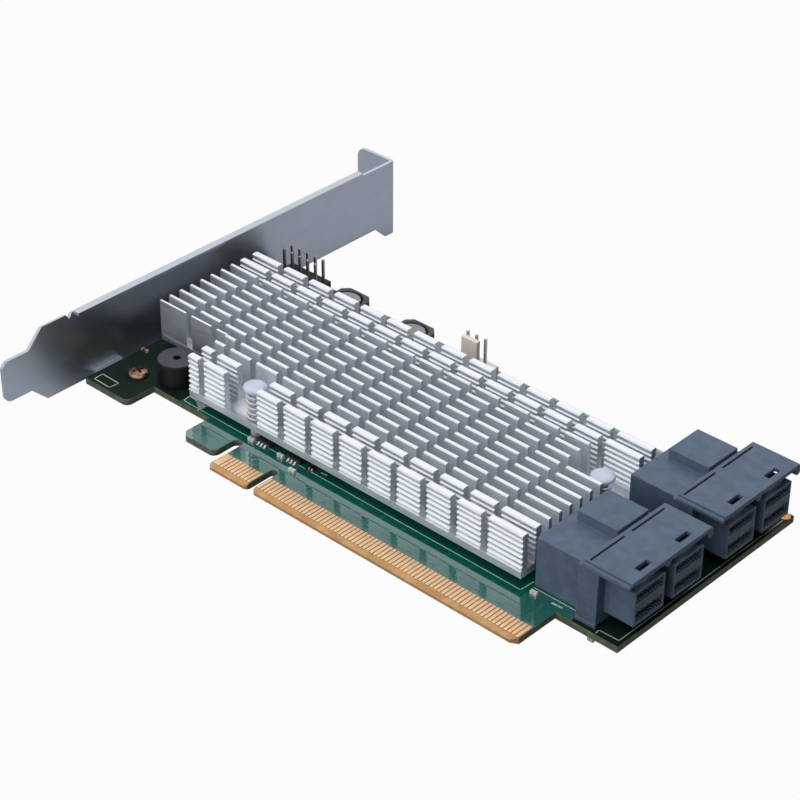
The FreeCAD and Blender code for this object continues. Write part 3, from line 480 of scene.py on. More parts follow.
# Heat sink: slab, plain fins and ridged wide fins, cut across at a steady pitch
def makeHeatSink():
    sink = dict(
        left=-53, right=62.5, front=12.85, back=54.45, low=2.985, floor=4.685, top=13.235, plainFirst=21.16,
        plainPitch=3.126, plainRows=9, plainFoot=0.55, plainTip=0.45, footRound=0.45, footTurns=(0, 0.5, 1, 1.5),
        tipRound=0.3, tipArc=(20, 90, 3), sunk=0.02, wideHalf=0.95, wideFoot=0.2, wideWaist=(0.12, 0.1),
        frontRow=13.85, backRow=49.59, widePitch=3.89, ridgeDeep=0.4, ridgePitch=1.28, ridges=6, ridgeShift=-0.25,
        ridgeFrom=0.12, ridgeShape=((0, 0), (0.08, 0.05), (0.64, 0.84), (0.74, 1), (0.8, 0.88), (0.95, 0.12)),
        capSide=((0.36, 0), (0.14, 0.22), (0.04, 0.5)), capMiddle=0.45, capRound=0.4, capArc=(10, 90, 4),
        cutFirst=-43.74, cutPitch=8.04, cutHalf=0.9, middleSegments=12, cornerRight=-31.6, cornerBack=24.24,
        cornerRows=2, cornerColumns=2, frontPinColumn=3, rearPinRows=3, pinHole=1.55, drillOver=2, finEase=0.06,
        sliverEase=0.05, slabEase=0.18,
    )
    left, right, front, back, low, floor, top = pick(sink, "left right front back low floor top")
    near, corner, pitch, middles = pick(sink, "cornerBack cornerRight cutPitch middleSegments")
    sunk = floor - sink["sunk"]

    def plainOutline():
        foot, bend, tip, bow = pick(sink, "plainFoot footRound plainTip tipRound")
        half = [(foot + bend, sunk)]
        half += [(foot + bend - bend * sin(t), floor + bend - bend * cos(t)) for t in sink["footTurns"]]
        half += [(tip, top - bow)] + arc((tip - bow, top - bow), bow, *sink["tipArc"])
        return mirrored(half)

    def wideOutline():
        side, deep, rise, bow, (waistIn, waistUp) = pick(sink, "wideHalf ridgeDeep ridgePitch capRound wideWaist")
        half = [(side + sink["wideFoot"], sunk), (side - waistIn, floor + waistUp)]
        foot = floor + sink["ridgeShift"]
        for ridge in range(sink["ridges"]):
            for part, lift in sink["ridgeShape"]:
                level = foot + rise * (ridge + part)
                if level > floor + sink["ridgeFrom"]:
                    half.append((side - deep * (1 - lift), level))
        shoulder = foot + rise * sink["ridges"]
        half += [(side - inward, shoulder + up) for inward, up in sink["capSide"]]
        half += arc((side - sink["capMiddle"], top - bow), bow, *sink["capArc"])
        return mirrored(half)

    gap = 2 * sink["cutHalf"]
    start, length = sink["cutFirst"] + sink["cutHalf"], pitch - gap
    last = start + pitch * middles
    firstLong, lastLong, shortLong = start - gap - left, right - last, start + pitch + length - corner
    first, count, step = pick(sink, "plainFirst plainRows plainPitch")
    frontY, backY, wideStep = pick(sink, "frontRow backRow widePitch")
    cutRows, cutColumns, pinColumn, pinRows = pick(sink, "cornerRows cornerColumns frontPinColumn rearPinRows")
    plain, wide, pair = plainOutline(), wideOutline(), (2, wideStep)
    behind, behindRows, besideRows = first + cutRows * step, (count - cutRows, step), (cutRows, step)
    beside, beyond = start + cutColumns * pitch, start + (pinColumn + 1) * pitch
    # outline, left end and length of a fin, columns, first row, rows: behind and beside the cut corner,
    # and without the fins that stand where a push pin is
    fields = [
        (plain, start, length, middles, behind, behindRows),
        (plain, left, firstLong, 1, behind, behindRows),
        (plain, beside, length, middles - cutColumns, first, besideRows),
        (plain, corner, shortLong, 1, first, besideRows),
        (plain, last, lastLong, 1, first, (count - pinRows, step)),
        (wide, corner, shortLong, 1, frontY, pair),
        (wide, beside, length, pinColumn - cutColumns, frontY, pair),
        (wide, beyond, length, middles - pinColumn - 1, frontY, pair),
        (wide, last, lastLong, 1, frontY, pair),
        (wide, left, firstLong, 1, backY, pair),
        (wide, start, length, middles, backY, pair),
        (wide, last, lastLong, 1, backY, pair),
    ]
    parts = []
    for outline, x, long, columns, y, rows in fields:
        fin = meshObject("fin", prism(outline, 0, long, "x", ease=sink["finEase"]), angle=40)
        parts.append(inRows("finField", fin, (x, y, 0), (columns, pitch), rows, bareAluminium))
        drop(fin)
    # what the cut corner leaves of the second plain row
    far = first + step
    sliver = [(near, sunk), (far + sink["plainFoot"], sunk), (far + sink["plainTip"], top), (near, top)]
    for a, b in ((left, left + firstLong), (start, start + length), (start + pitch, corner)):
        parts.append(meshObject("sliver", prism(sliver, a, b, "x", ease=sink["sliverEase"])))
    # slab with its cut corner, pin holes and eased edges
    outline = [(left, near), (corner, near), (corner, front), (right, front), (right, back), (left, back)]
    slab = meshObject("slabMaker", prism(outline, low, floor, "z"))
    drills = bmesh.new()
    bottom, over, hole = low - sink["drillOver"], floor + sink["drillOver"], sink["pinHole"]
    for pin in pinSpots.values():
        lathe([(0, bottom), (hole, bottom), (hole, over), (0, over)], pin, sides=32, shape=drills)
    drill = meshObject("drill", drills)
    carve(slab, drill)
    easeModifier(slab, sink["slabEase"], angle=50, miter="MITER_SHARP")
    parts.append(baked(slab, "slab", drill))
    settle(joined("heatSinkFins", parts), ("heat_sink",), bareAluminium)


# Push pins with domed heads and split barbs, and the springs under the heads
def makePins():
    pin = dict(
        shaft=[
            (0, -3.6), (0.7, -3.6), (0.95, -3.45), (2.1, -1.135), (2.1, -0.865), (2, -0.785), (1.25, -0.785),
            (1.25, 11.535), (1.5, 11.785), (2.48, 11.785), (2.6, 11.905),
        ],
        head=2.6, domeLow=12.285, domeTop=13.185, domeTurns=(0, 0.25, 0.5, 0.8, 1.1, 1.35),
        slitHalf=0.25, slitLow=-9, slitTop=0.6, slitReach=4,
    )
    spring = dict(mean=1.78, wire=0.25, turns=5.0, low=4.685, high=11.785)
    head, domeLow, domeTop = pick(pin, "head domeLow domeTop")
    half, slitLow, slitTop, reach = pick(pin, "slitHalf slitLow slitTop slitReach")
    dome = [(head * cos(t), domeLow + (domeTop - domeLow) * sin(t)) for t in pin["domeTurns"]]
    turns, mean, wire, low, high = pick(spring, "turns mean wire low high")
    winding = {"turns": turns, "radius": mean * mm, "wire": wire * mm, "height": (high - low - 2 * wire) * mm}
    for side, (x, y) in pinSpots.items():
        maker = meshObject("pinMaker", lathe(pin["shaft"] + dome + [(0, domeTop)], (x, y)))
        slit = rectangle(x - half, slitLow, x + half, slitTop)
        tool = meshObject("pinSlit", prism(slit, y - reach, y + reach, "y"))
        carve(maker, tool)
        piece = baked(maker, "pushPin" + side.title(), tool)
        smoothed(piece.data, angle=40)
        settle(piece, ("push_pin_" + side,), paleNylon)
        foot = metres((x, y, low + wire))
        coil = runTree("pinSpring" + side.title(), springTree, foot=foot, finish=springWire, **winding)
        settle(coil, ("pin_spring_" + side,), springWire)


# Buzzer: can with a rounded shoulder and a sound port, its flat top faces painted grey-violet as painted sheen
def makeBuzzer():
    can = dict(
        radius=4.5, high=5.5, foot=0.15, shoulder=0.45, shoulderTurns=(0.4, 0.8, 1.2, pi / 2), port=0.8, portDeep=1.2,
        portEase=0.12, sheenFrom=0.02,
    )
    r, s, foot, hole, lip = pick(can, "radius shoulder foot port portEase")
    top = boardTop + can["high"]
    floor = top - can["portDeep"]
    profile = [(0, boardTop), (r - foot, boardTop), (r, boardTop + foot), (r, top - s)]
    profile += [(r - s + s * cos(t), top - s + s * sin(t)) for t in can["shoulderTurns"]]
    profile += [(hole + lip, top), (hole, top - lip), (hole, floor), (0, floor)]
    piece = meshObject("buzzerCan", lathe(profile, buzzerSpot, sides=64), angle=40)
    painted(piece, blackPlastic, buzzerTopSheen)
    # the flat upward faces at the top take the grey-violet, the rest stays black: painted sheen
    for face in piece.data.polygons:
        face.material_index = int(face.center.z > (top - can["sheenFrom"]) * mm and face.normal.z > facingUp)
    settle(piece, ("buzzer_case",))


# Screws: pan heads with a cross recess
def makeScrews():
    screw = dict(
        first=(-48.45, 13, 0), gap=44, head=2.3, high=1.5, rim=0.55, rimEase=0.1, long=3.4, tip=0.9,
        thread=1.25, threadDeep=0.14, threadFrom=0.5, turns=8, domeTurns=(0.35, 0.7, 1.05, 1.3), domeShare=0.92,
        recess=0.42, reach=1.35, recessDeep=0.85, recessOver=1, recessTurn=(0.96, 0.28), tipLong=0.4,
        threadLeft=0.1,
    )
    head, thread, begin, ease, share = pick(screw, "head thread threadFrom rimEase domeShare")
    rim, top, end = boardTop + screw["rim"], boardTop + screw["high"], boardTop - screw["long"]
    steps = screw["turns"] * 2
    profile = [(0, end), (screw["tip"], end), (thread, end + screw["tipLong"])]
    for k in range(steps):
        level = end + begin + k * (screw["long"] - begin - screw["threadLeft"]) / steps
        profile.append((thread - (screw["threadDeep"] if k % 2 else 0), level))
    profile += [(thread, boardTop), (head - ease, boardTop), (head, boardTop + ease), (head, rim)]
    for t in screw["domeTurns"]:
        reach = head * (share * cos(t) + (1 - share) * (1 - t / (pi / 2)))
        profile.append((reach, rim + (top - rim) * sin(t)))
    r, w, deep, over, (c, s) = pick(screw, "reach recess recessDeep recessOver recessTurn")
    arms = [(-r, -w), (-w, -w), (-w, -r), (w, -r), (w, -w), (r, -w)]
    arms += [(-a, -b) for a, b in arms]
    cross = prism([(a * c + b * s, b * c - a * s) for a, b in arms], top - deep, top + over, "z")
    maker = meshObject("screwMaker", lathe(profile + [(0, top)], (0, 0), sides=40))
    tool = meshObject("crossTool", cross)
    carve(maker, tool)
    single = baked(maker, "screwShape", tool)
    smoothed(single.data, angle=40)
    piece = inRows("bracketScrewPair", single, screw["first"], (1, 0), (2, screw["gap"]), copperSteel)
    drop(single)
    settle(piece, ("bracket_screws",), copperSteel)


# Bracket, headers, packages: the nodes' own forms with eased corners
def makeSoftened():
    soft = [
        ("io_bracket", 0.1, nickelSteel, "plated_steel"),
        ("port_wafer_block_front", 0.2, portPlastic, "port_plastic"),
        ("port_wafer_block_rear", 0.2, portPlastic, "port_plastic"),
        ("fan_header_body", 0.15, beigePlastic, "beige_plastic"),
        ("jumper_header_base", 0.2, blackPlastic, "black_plastic"),
        ("regulator_chips", 0.1, mouldCompound, "chip_mould"),
        ("flash_memory_chip", 0.1, mouldCompound, "chip_mould"),
        ("clock_oscillator", 0.2, lidNickel, "lid_metal"),
        ("controller_lid", 0.2, lidNickel, "lid_metal"),
        ("fan_header_pins", 0.15, tinned, "tinned_pin"),
        # the jumper posts take the darker copy of the tin: painted shade
        ("jumper_header_pins", 0.15, shadedPostTin, "tinned_pin"),
    ]
    for node, width, material, slot in soft:
        settle(softEdges(node, width), (node,), material)


# Power inductors: octagonal shield around a round core, with the dark gap between them
def makeCoils():
    coil = dict(
        spots=(("left", -32.3), ("right", -12.2)), y=62.2, half=4.5, cut=1.6, high=4.65, gapOuter=3.85, gapInner=3.35,
        gapDeep=1.2, gapOver=1, ease=0.3, faceFrom=0.1,
    )
    h, y, inner, outer = pick(coil, "half y gapInner gapOuter")
    s, top = h - coil["cut"], boardTop + coil["high"]
    gap = rectangle(inner, top - coil["gapDeep"], outer, top + coil["gapOver"])
    octagon = [(-s, -h), (s, -h), (h, -s), (h, s), (s, h), (-s, h), (-h, s), (-h, -s)]
    for side, x in coil["spots"]:
        body = meshObject("coilBody", prism([(x + a, y + b) for a, b in octagon], boardTop, top, "z"))
        tool = meshObject("coilGroove", lathe(gap, (x, y), closed=True))
        carve(body, tool)
        easeModifier(body, coil["ease"], angle=40)
        piece = evenNormals(body, "powerInductor" + side.title(), tool)
        painted(piece, pressedFerrite, groundFerrite)
        for face in piece.data.polygons:
            spots = [piece.data.vertices[i].co for i in face.vertices]
            inCore = all(hypot(p.x - x * mm, p.y - y * mm) < inner * mm for p in spots)
            upper = face.normal.z > facingUp and face.center.z > (top - coil["faceFrom"]) * mm
            face.material_index = int(inCore and upper)
        settle(piece, ("power_inductor_" + side,))


# Ports: wall, foot, cover with slits and windows, rounded rails, hanging guides and slotted noses with combs
def makePorts():
    port = dict(
        middles=(("front", 26.08), ("rear", 54.83)), left=76, wall=81, half=13, high=13.985, wallEase=0.18,
        footHalf=13.3, foot=1.8, footEase=0.2, ledge=0.12, ledgeTop=11.3, ledgeIn=(0.2, 0.05), ledgeEase=0.05,
        coverLeft=76.8, coverRight=88.25, coverHalf=12.33, coverHigh=14.985, coverEase=0.14,
        slits=((77.65, 78.1, -11.8, -1.5), (77.65, 78.1, 0.7, 10.9)),
        windows=((85.4, 86.7, -8.1, -4.4), (85.4, 86.7, 4, 7.9)), railLow=13.185, railTop=14.55, railEnd=88.1,
        railIn=0.3, railRound=0.4, railEase=0.15, railTurns=(0, 0.3, 0.7, 1.1, pi / 2),
        guides=((-2.1, -0.1, 12.885), (11.3, 12.9, 12.285)), guideEase=0.1, guideSunk=0.05, guideShort=0.05,
        guideTurns=(0, 0.35, 0.7, 1.05, 1.4), joint=0.1, noseEnd=88.2, noses=((-10.98, -1.78), (0.92, 10.12)),
        noseLow=4, noseHigh=11.95, noseEase=0.12, inset=0.6, slots=((4.75, 7.3), (9.25, 11.6)), openings=(5.2, 9.4),
        slotBack=82, within=0.02, toothHalf=0.18, toothHigh=0.62, toothBack=0.06, toothCut=(0.3, 0.15),
        toothFirst=1.03, teeth=10, pitch=0.8, bladeFirst=1.43, blades=9, bladeHalf=0.175,
        blade=[(82, 0), (87.4, 0), (87.4, 0.16), (86.6, 0.3), (85.2, 0.3), (84.6, 0.22), (82, 0.22)],
    )
    h, top, left, wall, start, end, joint = pick(port, "half high left wall slotBack noseEnd joint")

    def box(x, y, z, ease):
        return eased("portBlock", gridPlate("z", x, y, (), *z), ease)

    def bar(name, outline, low, high, ease):
        return meshObject(name, prism(outline, low, high, "x", ease=ease), angle=40)

    # one tooth of the comb for a slot's floor and roof, and one contact blade with its bent tip
    front, high, (cutBack, cutDown), half = end - port["toothBack"], *pick(port, "toothHigh toothCut toothHalf")
    tooth = [(start, 0), (front, 0), (front, high - cutDown), (end - cutBack, high), (start, high)]
    roof = [(a, -b) for a, b in tooth]
    outlines = ("floorTooth", tooth, half), ("roofTooth", roof, half), ("blade", port["blade"], port["bladeHalf"])
    shapes = {name: meshObject(name, prism(outline, -w, w, "y")) for name, outline, w in outlines}

    def comb(shape, y, z, count, finish):
        return inRows(shape + "Run", shapes[shape], (0, y, z), (1, 0), (count, port["pitch"]), finish)

    def walls(m):
        foot, wider, (leftIn, rightIn) = pick(port, "foot footHalf ledgeIn")
        parts = [
            box((left, wall), (m - h, m + h), (boardTop, top), port["wallEase"]),
            box((left, wall), (m - wider, m + wider), (boardTop, foot), port["footEase"]),
        ]
        # thin ledge on both wall ends, up to a step below the rail
        span, rise = (left + leftIn, wall - rightIn), (foot - joint, port["ledgeTop"])
        for sign in (-1, 1):
            ends = sorted((m + sign * (h - joint), m + sign * (h + port["ledge"])))
            parts.append(box(span, ends, rise, port["ledgeEase"]))
        return parts

    def cover(m):
        openings = [(a, b, m + c, m + d) for a, b, c, d in port["slits"] + port["windows"]]
        across = sorted({port["coverLeft"], port["coverRight"]} | {v for o in openings for v in o[:2]})
        along = sorted({m - port["coverHalf"], m + port["coverHalf"]} | {v for o in openings for v in o[2:]})
        plate = gridPlate("z", across, along, openings, top, port["coverHigh"])
        parts = [eased("portCover", plate, port["coverEase"])]
        # rounded rails on both sides
        low, high, bend = pick(port, "railLow railTop railRound")
        turns = [-t for t in reversed(port["railTurns"][1:])] + list(port["railTurns"])
        for sign in (-1, 1):
            inner, outer = m + sign * (port["coverHalf"] - port["railIn"]), m + sign * (h - bend)
            bow = [(outer + sign * bend * cos(t), (low + high + (high - low) * sin(t)) / 2) for t in turns]
            outline = [(inner, low)] + bow + [(inner, high)]
            parts.append(bar("portRail", outline, port["coverLeft"], port["railEnd"], port["railEase"]))
        # guides under the cover, rounded below
        sunk = top + port["guideSunk"]
        turns = list(port["guideTurns"]) + [pi - t for t in reversed(port["guideTurns"])]
        for near, far, low in port["guides"]:
            radius, middle = (far - near) / 2, m + (near + far) / 2
            depth = min(radius, top - low)
            bow = [(middle + radius * cos(t), low + depth - depth * sin(t)) for t in turns]
            outline = [(m + far, sunk)] + bow + [(m + near, sunk)]
            parts.append(bar("portGuide", outline, wall - joint, end - port["guideShort"], port["guideEase"]))
        return parts

    def noses(m):
        # each nose has two slots, a comb on both walls of each slot, and blades
        parts, blades = [], []
        low, high, inset, within = pick(port, "noseLow noseHigh inset within")
        levels = sorted([low, high] + [v for slot in port["slots"] for v in slot])
        for near, far in port["noses"]:
            a, b = m + near, m + far
            holes = [(a + inset, b - inset, *slot) for slot in port["slots"]]
            plate = gridPlate("x", (a, a + inset, b - inset, b), levels, holes, start - within, end)
            parts.append(eased("portNose", plate, port["noseEase"]))
            span, rise = (a + within, b - within), (low + within, high - within)
            parts.append(box((wall - joint, start), span, rise, within))
            for (slotLow, slotHigh), opening in zip(port["slots"], port["openings"]):
                first = a + port["toothFirst"]
                parts.append(comb("floorTooth", first, slotLow, port["teeth"], portPlastic))
                parts.append(comb("roofTooth", first, slotHigh, port["teeth"], portPlastic))
                blades.append(comb("blade", a + port["bladeFirst"], opening, port["blades"], contactAlloy))
        return parts, blades

    for side, m in port["middles"]:
        parts, blades = noses(m)
        shroud = joined("portShroudBlocks", walls(m) + cover(m) + parts)
        piece = evenNormals(shroud, "portShroud" + side.title())
        settle(piece, ("port_shroud_" + side,), portPlastic)
        rows = joined("portContactRows" + side.title(), blades)
        settle(rows, ("port_contacts_" + side,), contactAlloy)
    drop(*shapes.values())


# Chip parts on the board: body with wrapped tin ends; sizes are half length, half width and height
def makeChipParts():
    form = dict(bodyIn=0.02, bodyLow=0.03, corner=0.06, ease=0.04, brownFront=14)
    chips = {
        "ceramic_capacitors": dict(
            size=(0.8, 0.4, 0.8), end=0.42, body=firedCeramic, slot="capacitor_body", spots=[
                (-38, 56), (-26.6, 56), (-18, 56), (-6.4, 56), (16, 57), (16, 60), (16, 63), (-11.7, 12.2),
                (-2.9, 12.2), (2.6, 10.1), (65.6, 13.3), (40, 56), (40, 58.5), (40, 61),
            ]),
        "chip_resistors": dict(
            size=(0.5, 0.25, 0.4), end=0.2, body=resistorGlass, slot="resistor_body", spots=[
                (4.9, 13.3), (9, 56.4), (11.5, 56.4), (46, 56), (46, 58), (46, 60), (-53.8, 30), (-53.8, 32.5),
                (-53.8, 35),
            ]),
        "status_leds": dict(size=(0.8, 0.4, 0.7), end=0.16, body=redEpoxy, slot="led_lens", spots=[(-54.6, 20.4)]),
    }

    def blocks(spans, half, high):
        shape = bmesh.new()
        cut, top = form["corner"], boardTop + high
        outline = mirrored([(half, boardTop), (half, top - cut), (half - cut, top)])
        for a, b in spans:
            prism(outline, a, b, "x", shape, form["ease"])
        return shape

    for node, chip in chips.items():
        long, half, high = chip["size"]
        inner, inward, lower = long - chip["end"], long - form["bodyIn"], form["bodyLow"]
        sets = (
            ("Body", blocks([(-inward, inward)], half - lower, high - lower), chip["body"]),
            ("Ends", blocks([(-long, -inner), (inner, long)], half, high), solderedEnds),
        )
        made = []
        for label, shape, material in sets:
            single = meshObject(node + label, shape)
            made.append(onPoints(node + label + "Set", single, chip["spots"], material))
            drop(single)
        body, ends = made
        if node == "chip_resistors":
            body.data.materials.append(brownGlass)
            for face in body.data.polygons:
                face.material_index = int(face.center.y < form["brownFront"] * mm)
        settle(body, (node,))
        settle(ends)


# Printed lines on the board
def inkStrip(shape, points, wide, thick=0.014):
    for (ax, ay), (bx, by) in zip(points, points[1:]):
        long = hypot(bx - ax, by - ay)
        ux, uy = (bx - ax) / long * wide / 2, (by - ay) / long * wide / 2
        near = [(ax - ux + uy, ay - uy - ux), (bx + ux + uy, by + uy - ux)]
        far = [(bx + ux - uy, by + uy + ux), (ax - ux - uy, ay - uy + ux)]
        prism(near + far, boardTop, boardTop + thick, "z", shape)


def makePrint():
    lines = dict(
        wide=0.2,
        runs=[
            [(-33.6, 12.9), (62.8, 12.57), (63, 16.2)], [(64.2, 14.9), (75.6, 14.9)],
            [(81.68, 12.4), (81.65, 13.4), (86.3, 13.5), (86.5, 66)],
            [(-33.65, 12.95), (-33.85, 14.95), (-30.6, 14.8)],
            [(-54.3, 5.3), (-54.4, 7.8), (-49, 7.7), (-49.2, 5.2), (-54.3, 5.3)],
            [(-38.4, 56.2), (-26.2, 56.2)], [(-38.4, 68), (-26.2, 68)],
            [(-18.3, 56.2), (-6.1, 56.2)], [(-18.3, 68), (-6.1, 68)],
            [(2.6, 59.6), (11.6, 59.6), (11.6, 66.3), (2.6, 66.3), (2.6, 59.6)],
            [(-55.4, 61.6), (-41.8, 61.6), (-41.8, 67.9), (-55.4, 67.9), (-55.4, 61.6)],
            [(20.2, 56.8), (27.8, 56.8)], [(20.2, 63.2), (27.8, 63.2)],
        ],
        markWide=0.45,
        marks=[[(7.4, 14), (8.6, 14.1)], [(70, 13.6), (71, 13.65)], [(71.3, 13.7), (72.1, 13.75)]],
    )
    shape = bmesh.new()
    for run in lines["runs"]:
        inkStrip(shape, run, lines["wide"])
    for mark in lines["marks"]:
        inkStrip(shape, mark, lines["markWide"])
    settle(meshObject("boardPrint", shape), (), printInk)


# Bent leads of the small packages
def makeLeads():
    lead = dict(
        half=0.2, frontChips=(-8.8, 0.1), frontEdge=12.7, pitch=0.95, flash=(24, 60), flashHalf=2.5, flashPitch=1.27,
        outer=[(0.05, 0.5), (-0.25, 0.5), (-0.4, 0.15), (-0.8, 0.15)],
        inner=[(-0.8, 0), (-0.32, 0), (-0.18, 0.35), (0.05, 0.35)],
    )
    outline = [(a, boardTop + b) for a, b in lead["outer"] + lead["inner"]]
    single = meshObject("leadShape", prism(outline, -lead["half"], lead["half"], "x"))
    x, y = lead["flash"]
    steps = [x + k * lead["flashPitch"] for k in (-1.5, -0.5, 0.5, 1.5)]
    front = [(chip + k * lead["pitch"], lead["frontEdge"]) for chip in lead["frontChips"] for k in (-1, 0, 1)]
    front += [(step, y - lead["flashHalf"]) for step in steps]
    back = [(step, y + lead["flashHalf"]) for step in steps]
    rows = [onPoints("frontLeads", single, front, tinned), onPoints("backLeads", single, back, tinned, pi)]
    drop(single)
    settle(joined("chipLeads", rows), (), solderedEnds)


# Bare copper lands with a drop of solder
def makeLands():
    land = dict(
        spots=((4.66, 13.59), (85.95, 67.55)),
        profile=[(0, 0), (1.2, 0), (1.2, 0.02), (0.5, 0.02), (0.28, 0.096), (0, 0.12)],
    )
    shape = bmesh.new()
    for spot in land["spots"]:
        lathe([(r, boardTop + level) for r, level in land["profile"]], spot, sides=32, shape=shape)
    settle(meshObject("copperLands", shape), (), bareCopper)


# Pairs of traces under the mask
def makeTraces():
    trace = dict(wide=0.2, thick=0.01, first=(2.5, 0, 0), pairs=(12, 6), low=5.4, bend=6.6, shift=0.25, top=12.2)
    bend, shift = pick(trace, "bend shift")
    shape = bmesh.new()
    for side in (0, 1):
        inner = side + shift * (1 - 2 * side)
        run = [(side, trace["low"]), (side, bend), (inner, bend + shift), (inner, trace["top"])]
        inkStrip(shape, run, trace["wide"], trace["thick"])
    pair = meshObject("tracePair", shape)
    piece = inRows("boardTraces", pair, trace["first"], trace["pairs"], (1, 0), maskedCopper)
    drop(pair)
    settle(piece, (), maskedCopper)


# Solder cones at the pins, under the board
def makeSolder():
    joint = dict(
        jumper=(-48.6, 64.78), fan=(7.11, 62.4), pitch=2.54, buzzerGap=6.5,
        profile=[(0, -0.77), (0.95, -0.77), (0.93, -0.84), (0.62, -1.05), (0.44, -1.45), (0.38, -1.9), (0, -2)],
    )
    (jumperX, jumperY), (fanX, fanY), pitch, gap = pick(joint, "jumper fan pitch buzzerGap")
    spots = [(jumperX + k * pitch, jumperY + s * pitch) for k in (-2, -1, 0, 1, 2) for s in (-0.5, 0.5)]
    spots += [(fanX + k * pitch, fanY) for k in (-1, 0, 1)]
    spots += [(buzzerSpot[0] + s * gap, buzzerSpot[1]) for s in (-0.5, 0.5)]
    cone = meshObject("jointShape", lathe(joint["profile"], (0, 0), sides=20), angle=60)
    piece = onPoints("pinSolder", cone, spots, tinned)
    drop(cone)
    settle(piece, (), tinned)


# Board: mask on the faces, routed edges, bare bevel at the contacts
def makeBoard():
    zone = dict(
        copperEnds=(-34.1, 76), flat=0.985, bevelTop=1.3, bevelEnds=(-12.3, 72.3), ease=0.05,
        runs=((-12.05, -1.05), (1.05, 72.05)), gapLow=1.25, gapHigh=5.4, gapThick=0.012,
    )
    piece = softEdges("circuit_board", zone["ease"], 1)
    split = bmesh.new()
    split.from_mesh(piece.data)
    (copperFrom, copperTo), (bevelFrom, bevelTo) = pick(zone, "copperEnds bevelEnds")
    for x in (copperFrom, copperTo):
        everything = split.verts[:] + split.edges[:] + split.faces[:]
        bmesh.ops.bisect_plane(split, geom=everything, plane_co=(x * mm, 0, 0), plane_no=(1, 0, 0))
    split.to_mesh(piece.data)
    split.free()
    mask, edge, bevel, blank = range(4)
    painted(piece, solderMask, routedEdge, bareLaminate, bareMask)
    for face in piece.data.polygons:
        x, y = face.center.x / mm, face.center.y / mm
        if abs(face.normal.z) > zone["flat"]:
            face.material_index = mask if copperFrom < x < copperTo else blank
        else:
            atContacts = y < zone["bevelTop"] and bevelFrom < x < bevelTo
            face.material_index = bevel if atContacts else edge
    settle(piece, ("circuit_board",))
    # bare fields between the contacts on both sides
    shape = bmesh.new()
    for left, right in zone["runs"]:
        field = rectangle(left, zone["gapLow"], right, zone["gapHigh"])
        prism(field, boardTop, boardTop + zone["gapThick"], "z", shape)
        prism(field, -boardTop - zone["gapThick"], -boardTop, "z", shape)
    settle(meshObject("contactField", shape), (), laminateGap)


# Nodes that keep their own shape and take a finish
kept = {
    "edge_contacts_top": goldPlate, "edge_contacts_bottom": goldPlate, "controller_substrate": carrierLaminate,
    "thermal_pad": siliconePad, "buzzer_pins": tinned, "port_board_locks": tinned,
}
for node, material in kept.items():
    painted(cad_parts[node], material)
print("nodes finished:", len(kept))


# Floor, light and camera
def seenBy(tree):
    # whether the camera sees the spot, and whether a mirror does
    path = addNode(tree, "ShaderNodeLightPath").outputs
    return path["Is Camera Ray"], calculated(tree, "MAXIMUM", path["Is Glossy Ray"], path["Is Transmission Ray"])


def makeFloor():
    # studio paper: white to the eye and in reflections, keeps a soft shadow
    paper = dict(level=-5.52, reach=4, floor="#404040", mirrored="#c6cad0", white="#ffffff", cameraShare=0.97)
    mesh = bpy.data.meshes.new("floor")
    r, z = paper["reach"], paper["level"] * mm
    mesh.from_pydata([(a, b, z) for a, b in rectangle(-r, -r, r, r)], [], [(0, 1, 2, 3)])
    floor = addObject("floor", mesh)
    material = bpy.data.materials.new("whitePaper")
    tree = emptyTree(material)
    camera, mirror = seenBy(tree)
    share = calculated(tree, "MULTIPLY", camera, paper["cameraShare"])
    colours = {0: mirror, 6: linear(paper["floor"]), 7: linear(paper["mirrored"])}
    tint = addNode(tree, "ShaderNodeMix", colours, data_type="RGBA").outputs[2]
    matt = output(tree, "ShaderNodeBsdfDiffuse", {"Color": tint})
    glow = output(tree, "ShaderNodeEmission", {"Color": linear(paper["white"]), "Strength": 1})
    mixed = output(tree, "ShaderNodeMixShader", {0: share, 1: matt, 2: glow})
    addNode(tree, "ShaderNodeOutputMaterial", {"Surface": mixed})
    mesh.materials.append(material)


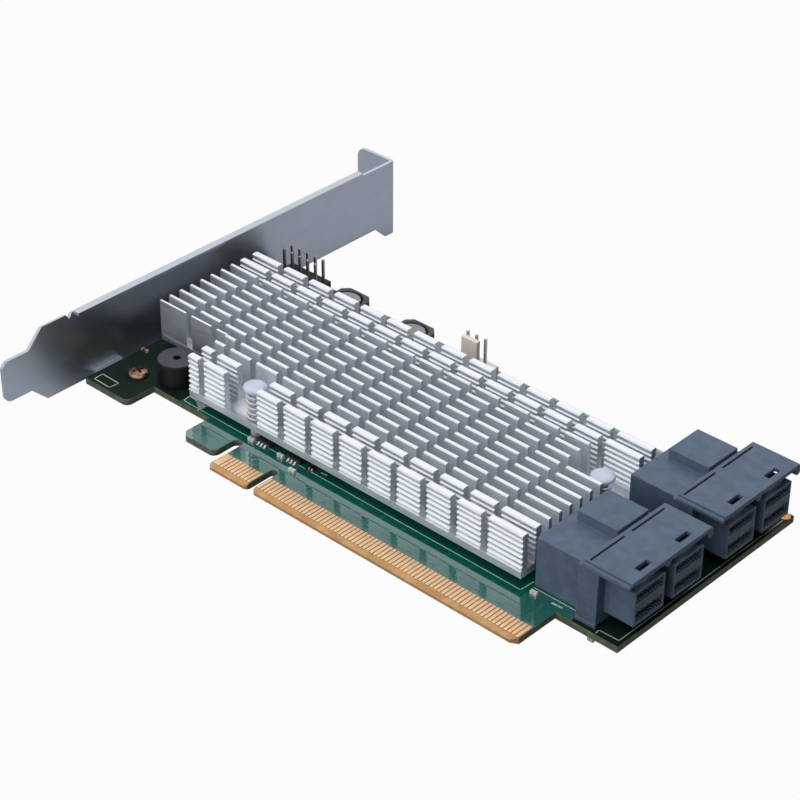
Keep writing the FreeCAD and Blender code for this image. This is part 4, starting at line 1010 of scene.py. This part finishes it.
def makeWorld():
    # soft light from above and from the front; the eye and mirrors see white all round and a dark ceiling,
    # so that a glossy face seen from above keeps its colour
    sky = dict(
        lowest=0.45, horizon=0.03, zenith=2.8, middle=1.3, sides=0.03, sideReach=0.42, front=2, frontFocus=4,
        ceilingSpan=(0.78, 0.96), ceiling=0,
    )
    scene.world = bpy.data.worlds.new("studio")
    tree = emptyTree(scene.world)
    camera, mirror = seenBy(tree)
    seen = calculated(tree, "MAXIMUM", camera, mirror)
    generated = addNode(tree, "ShaderNodeTexCoord").outputs["Generated"]
    heading = addNode(tree, "ShaderNodeSeparateXYZ", {0: generated}).outputs
    above = ranged(tree, heading["Z"], (sky["lowest"], 1), (sky["horizon"], sky["zenith"]))
    across = calculated(tree, "ABSOLUTE", heading["X"])
    narrowed = ranged(tree, across, (0, sky["sideReach"]), (sky["middle"], sky["sides"]))
    ahead = ranged(tree, heading["Y"], (0, -1), (0, 1))
    focused = calculated(tree, "POWER", ahead, sky["frontFocus"])
    light = calculated(tree, "MULTIPLY_ADD", focused, sky["front"], calculated(tree, "MULTIPLY", above, narrowed))
    backdrop = ranged(tree, heading["Z"], sky["ceilingSpan"], (1, sky["ceiling"]))
    strength = output(tree, "ShaderNodeMix", {0: seen, 2: light, 3: backdrop})
    shine = output(tree, "ShaderNodeBackground", {"Color": (1, 1, 1, 1), "Strength": strength})
    addNode(tree, "ShaderNodeOutputWorld", {"Surface": shine})


def makeLamps():
    # name, place and aim in metres, size, watts
    lamps = [
        ("softFrontLeft", (-0.55, -0.8, 0.32), (0, 0.03, 0), (1.6, 1.6), 1.5),
        ("softTop", (-0.12, 0.1, 1.2), (-0.12, 0.1, 0), (0.7, 1.6), 2.6),
        ("softBackLeft", (-0.75, 0.7, 0.85), (0, 0.03, 0), (1.2, 1.2), 1),
    ]
    for name, place, aim, size, watts in lamps:
        lamp = bpy.data.lights.new(name, "AREA")
        lamp.shape = "RECTANGLE"
        lamp.size, lamp.size_y = size
        lamp.energy = watts
        holder = addObject(name, lamp)
        holder.location = place
        holder.rotation_euler = (Vector(aim) - Vector(place)).to_track_quat("-Z", "Y").to_euler()


def makeCamera():
    # the camera solved from the photo: place in metres, turns in degrees
    eye = dict(
        place=(0.2873, -0.263, 0.278185), turns=((42.951, "Z"), (56.626, "X"), (0.259, "Z")), lens=104.56,
        sensor=36, near=0.01,
    )
    lens = bpy.data.cameras.new("photoCamera")
    lens.lens = eye["lens"]
    lens.sensor_width = eye["sensor"]
    lens.clip_start = eye["near"]
    camera = addObject("photoCamera", lens)
    pose = Matrix.Translation(Vector(eye["place"]))
    for degrees, axis in eye["turns"]:
        pose = pose @ Matrix.Rotation(radians(degrees), 4, axis)
    camera.matrix_world = pose
    scene.camera = camera


makers = (
    makeHeatSink, makePins, makeBuzzer, makeScrews, makeSoftened, makeCoils, makePorts, makeChipParts, makePrint,
    makeLeads, makeLands, makeTraces, makeSolder, makeBoard, makeFloor, makeWorld, makeLamps, makeCamera,
)
for make in makers:
    make()
    print("done:", make.__name__)
print("scene ready")
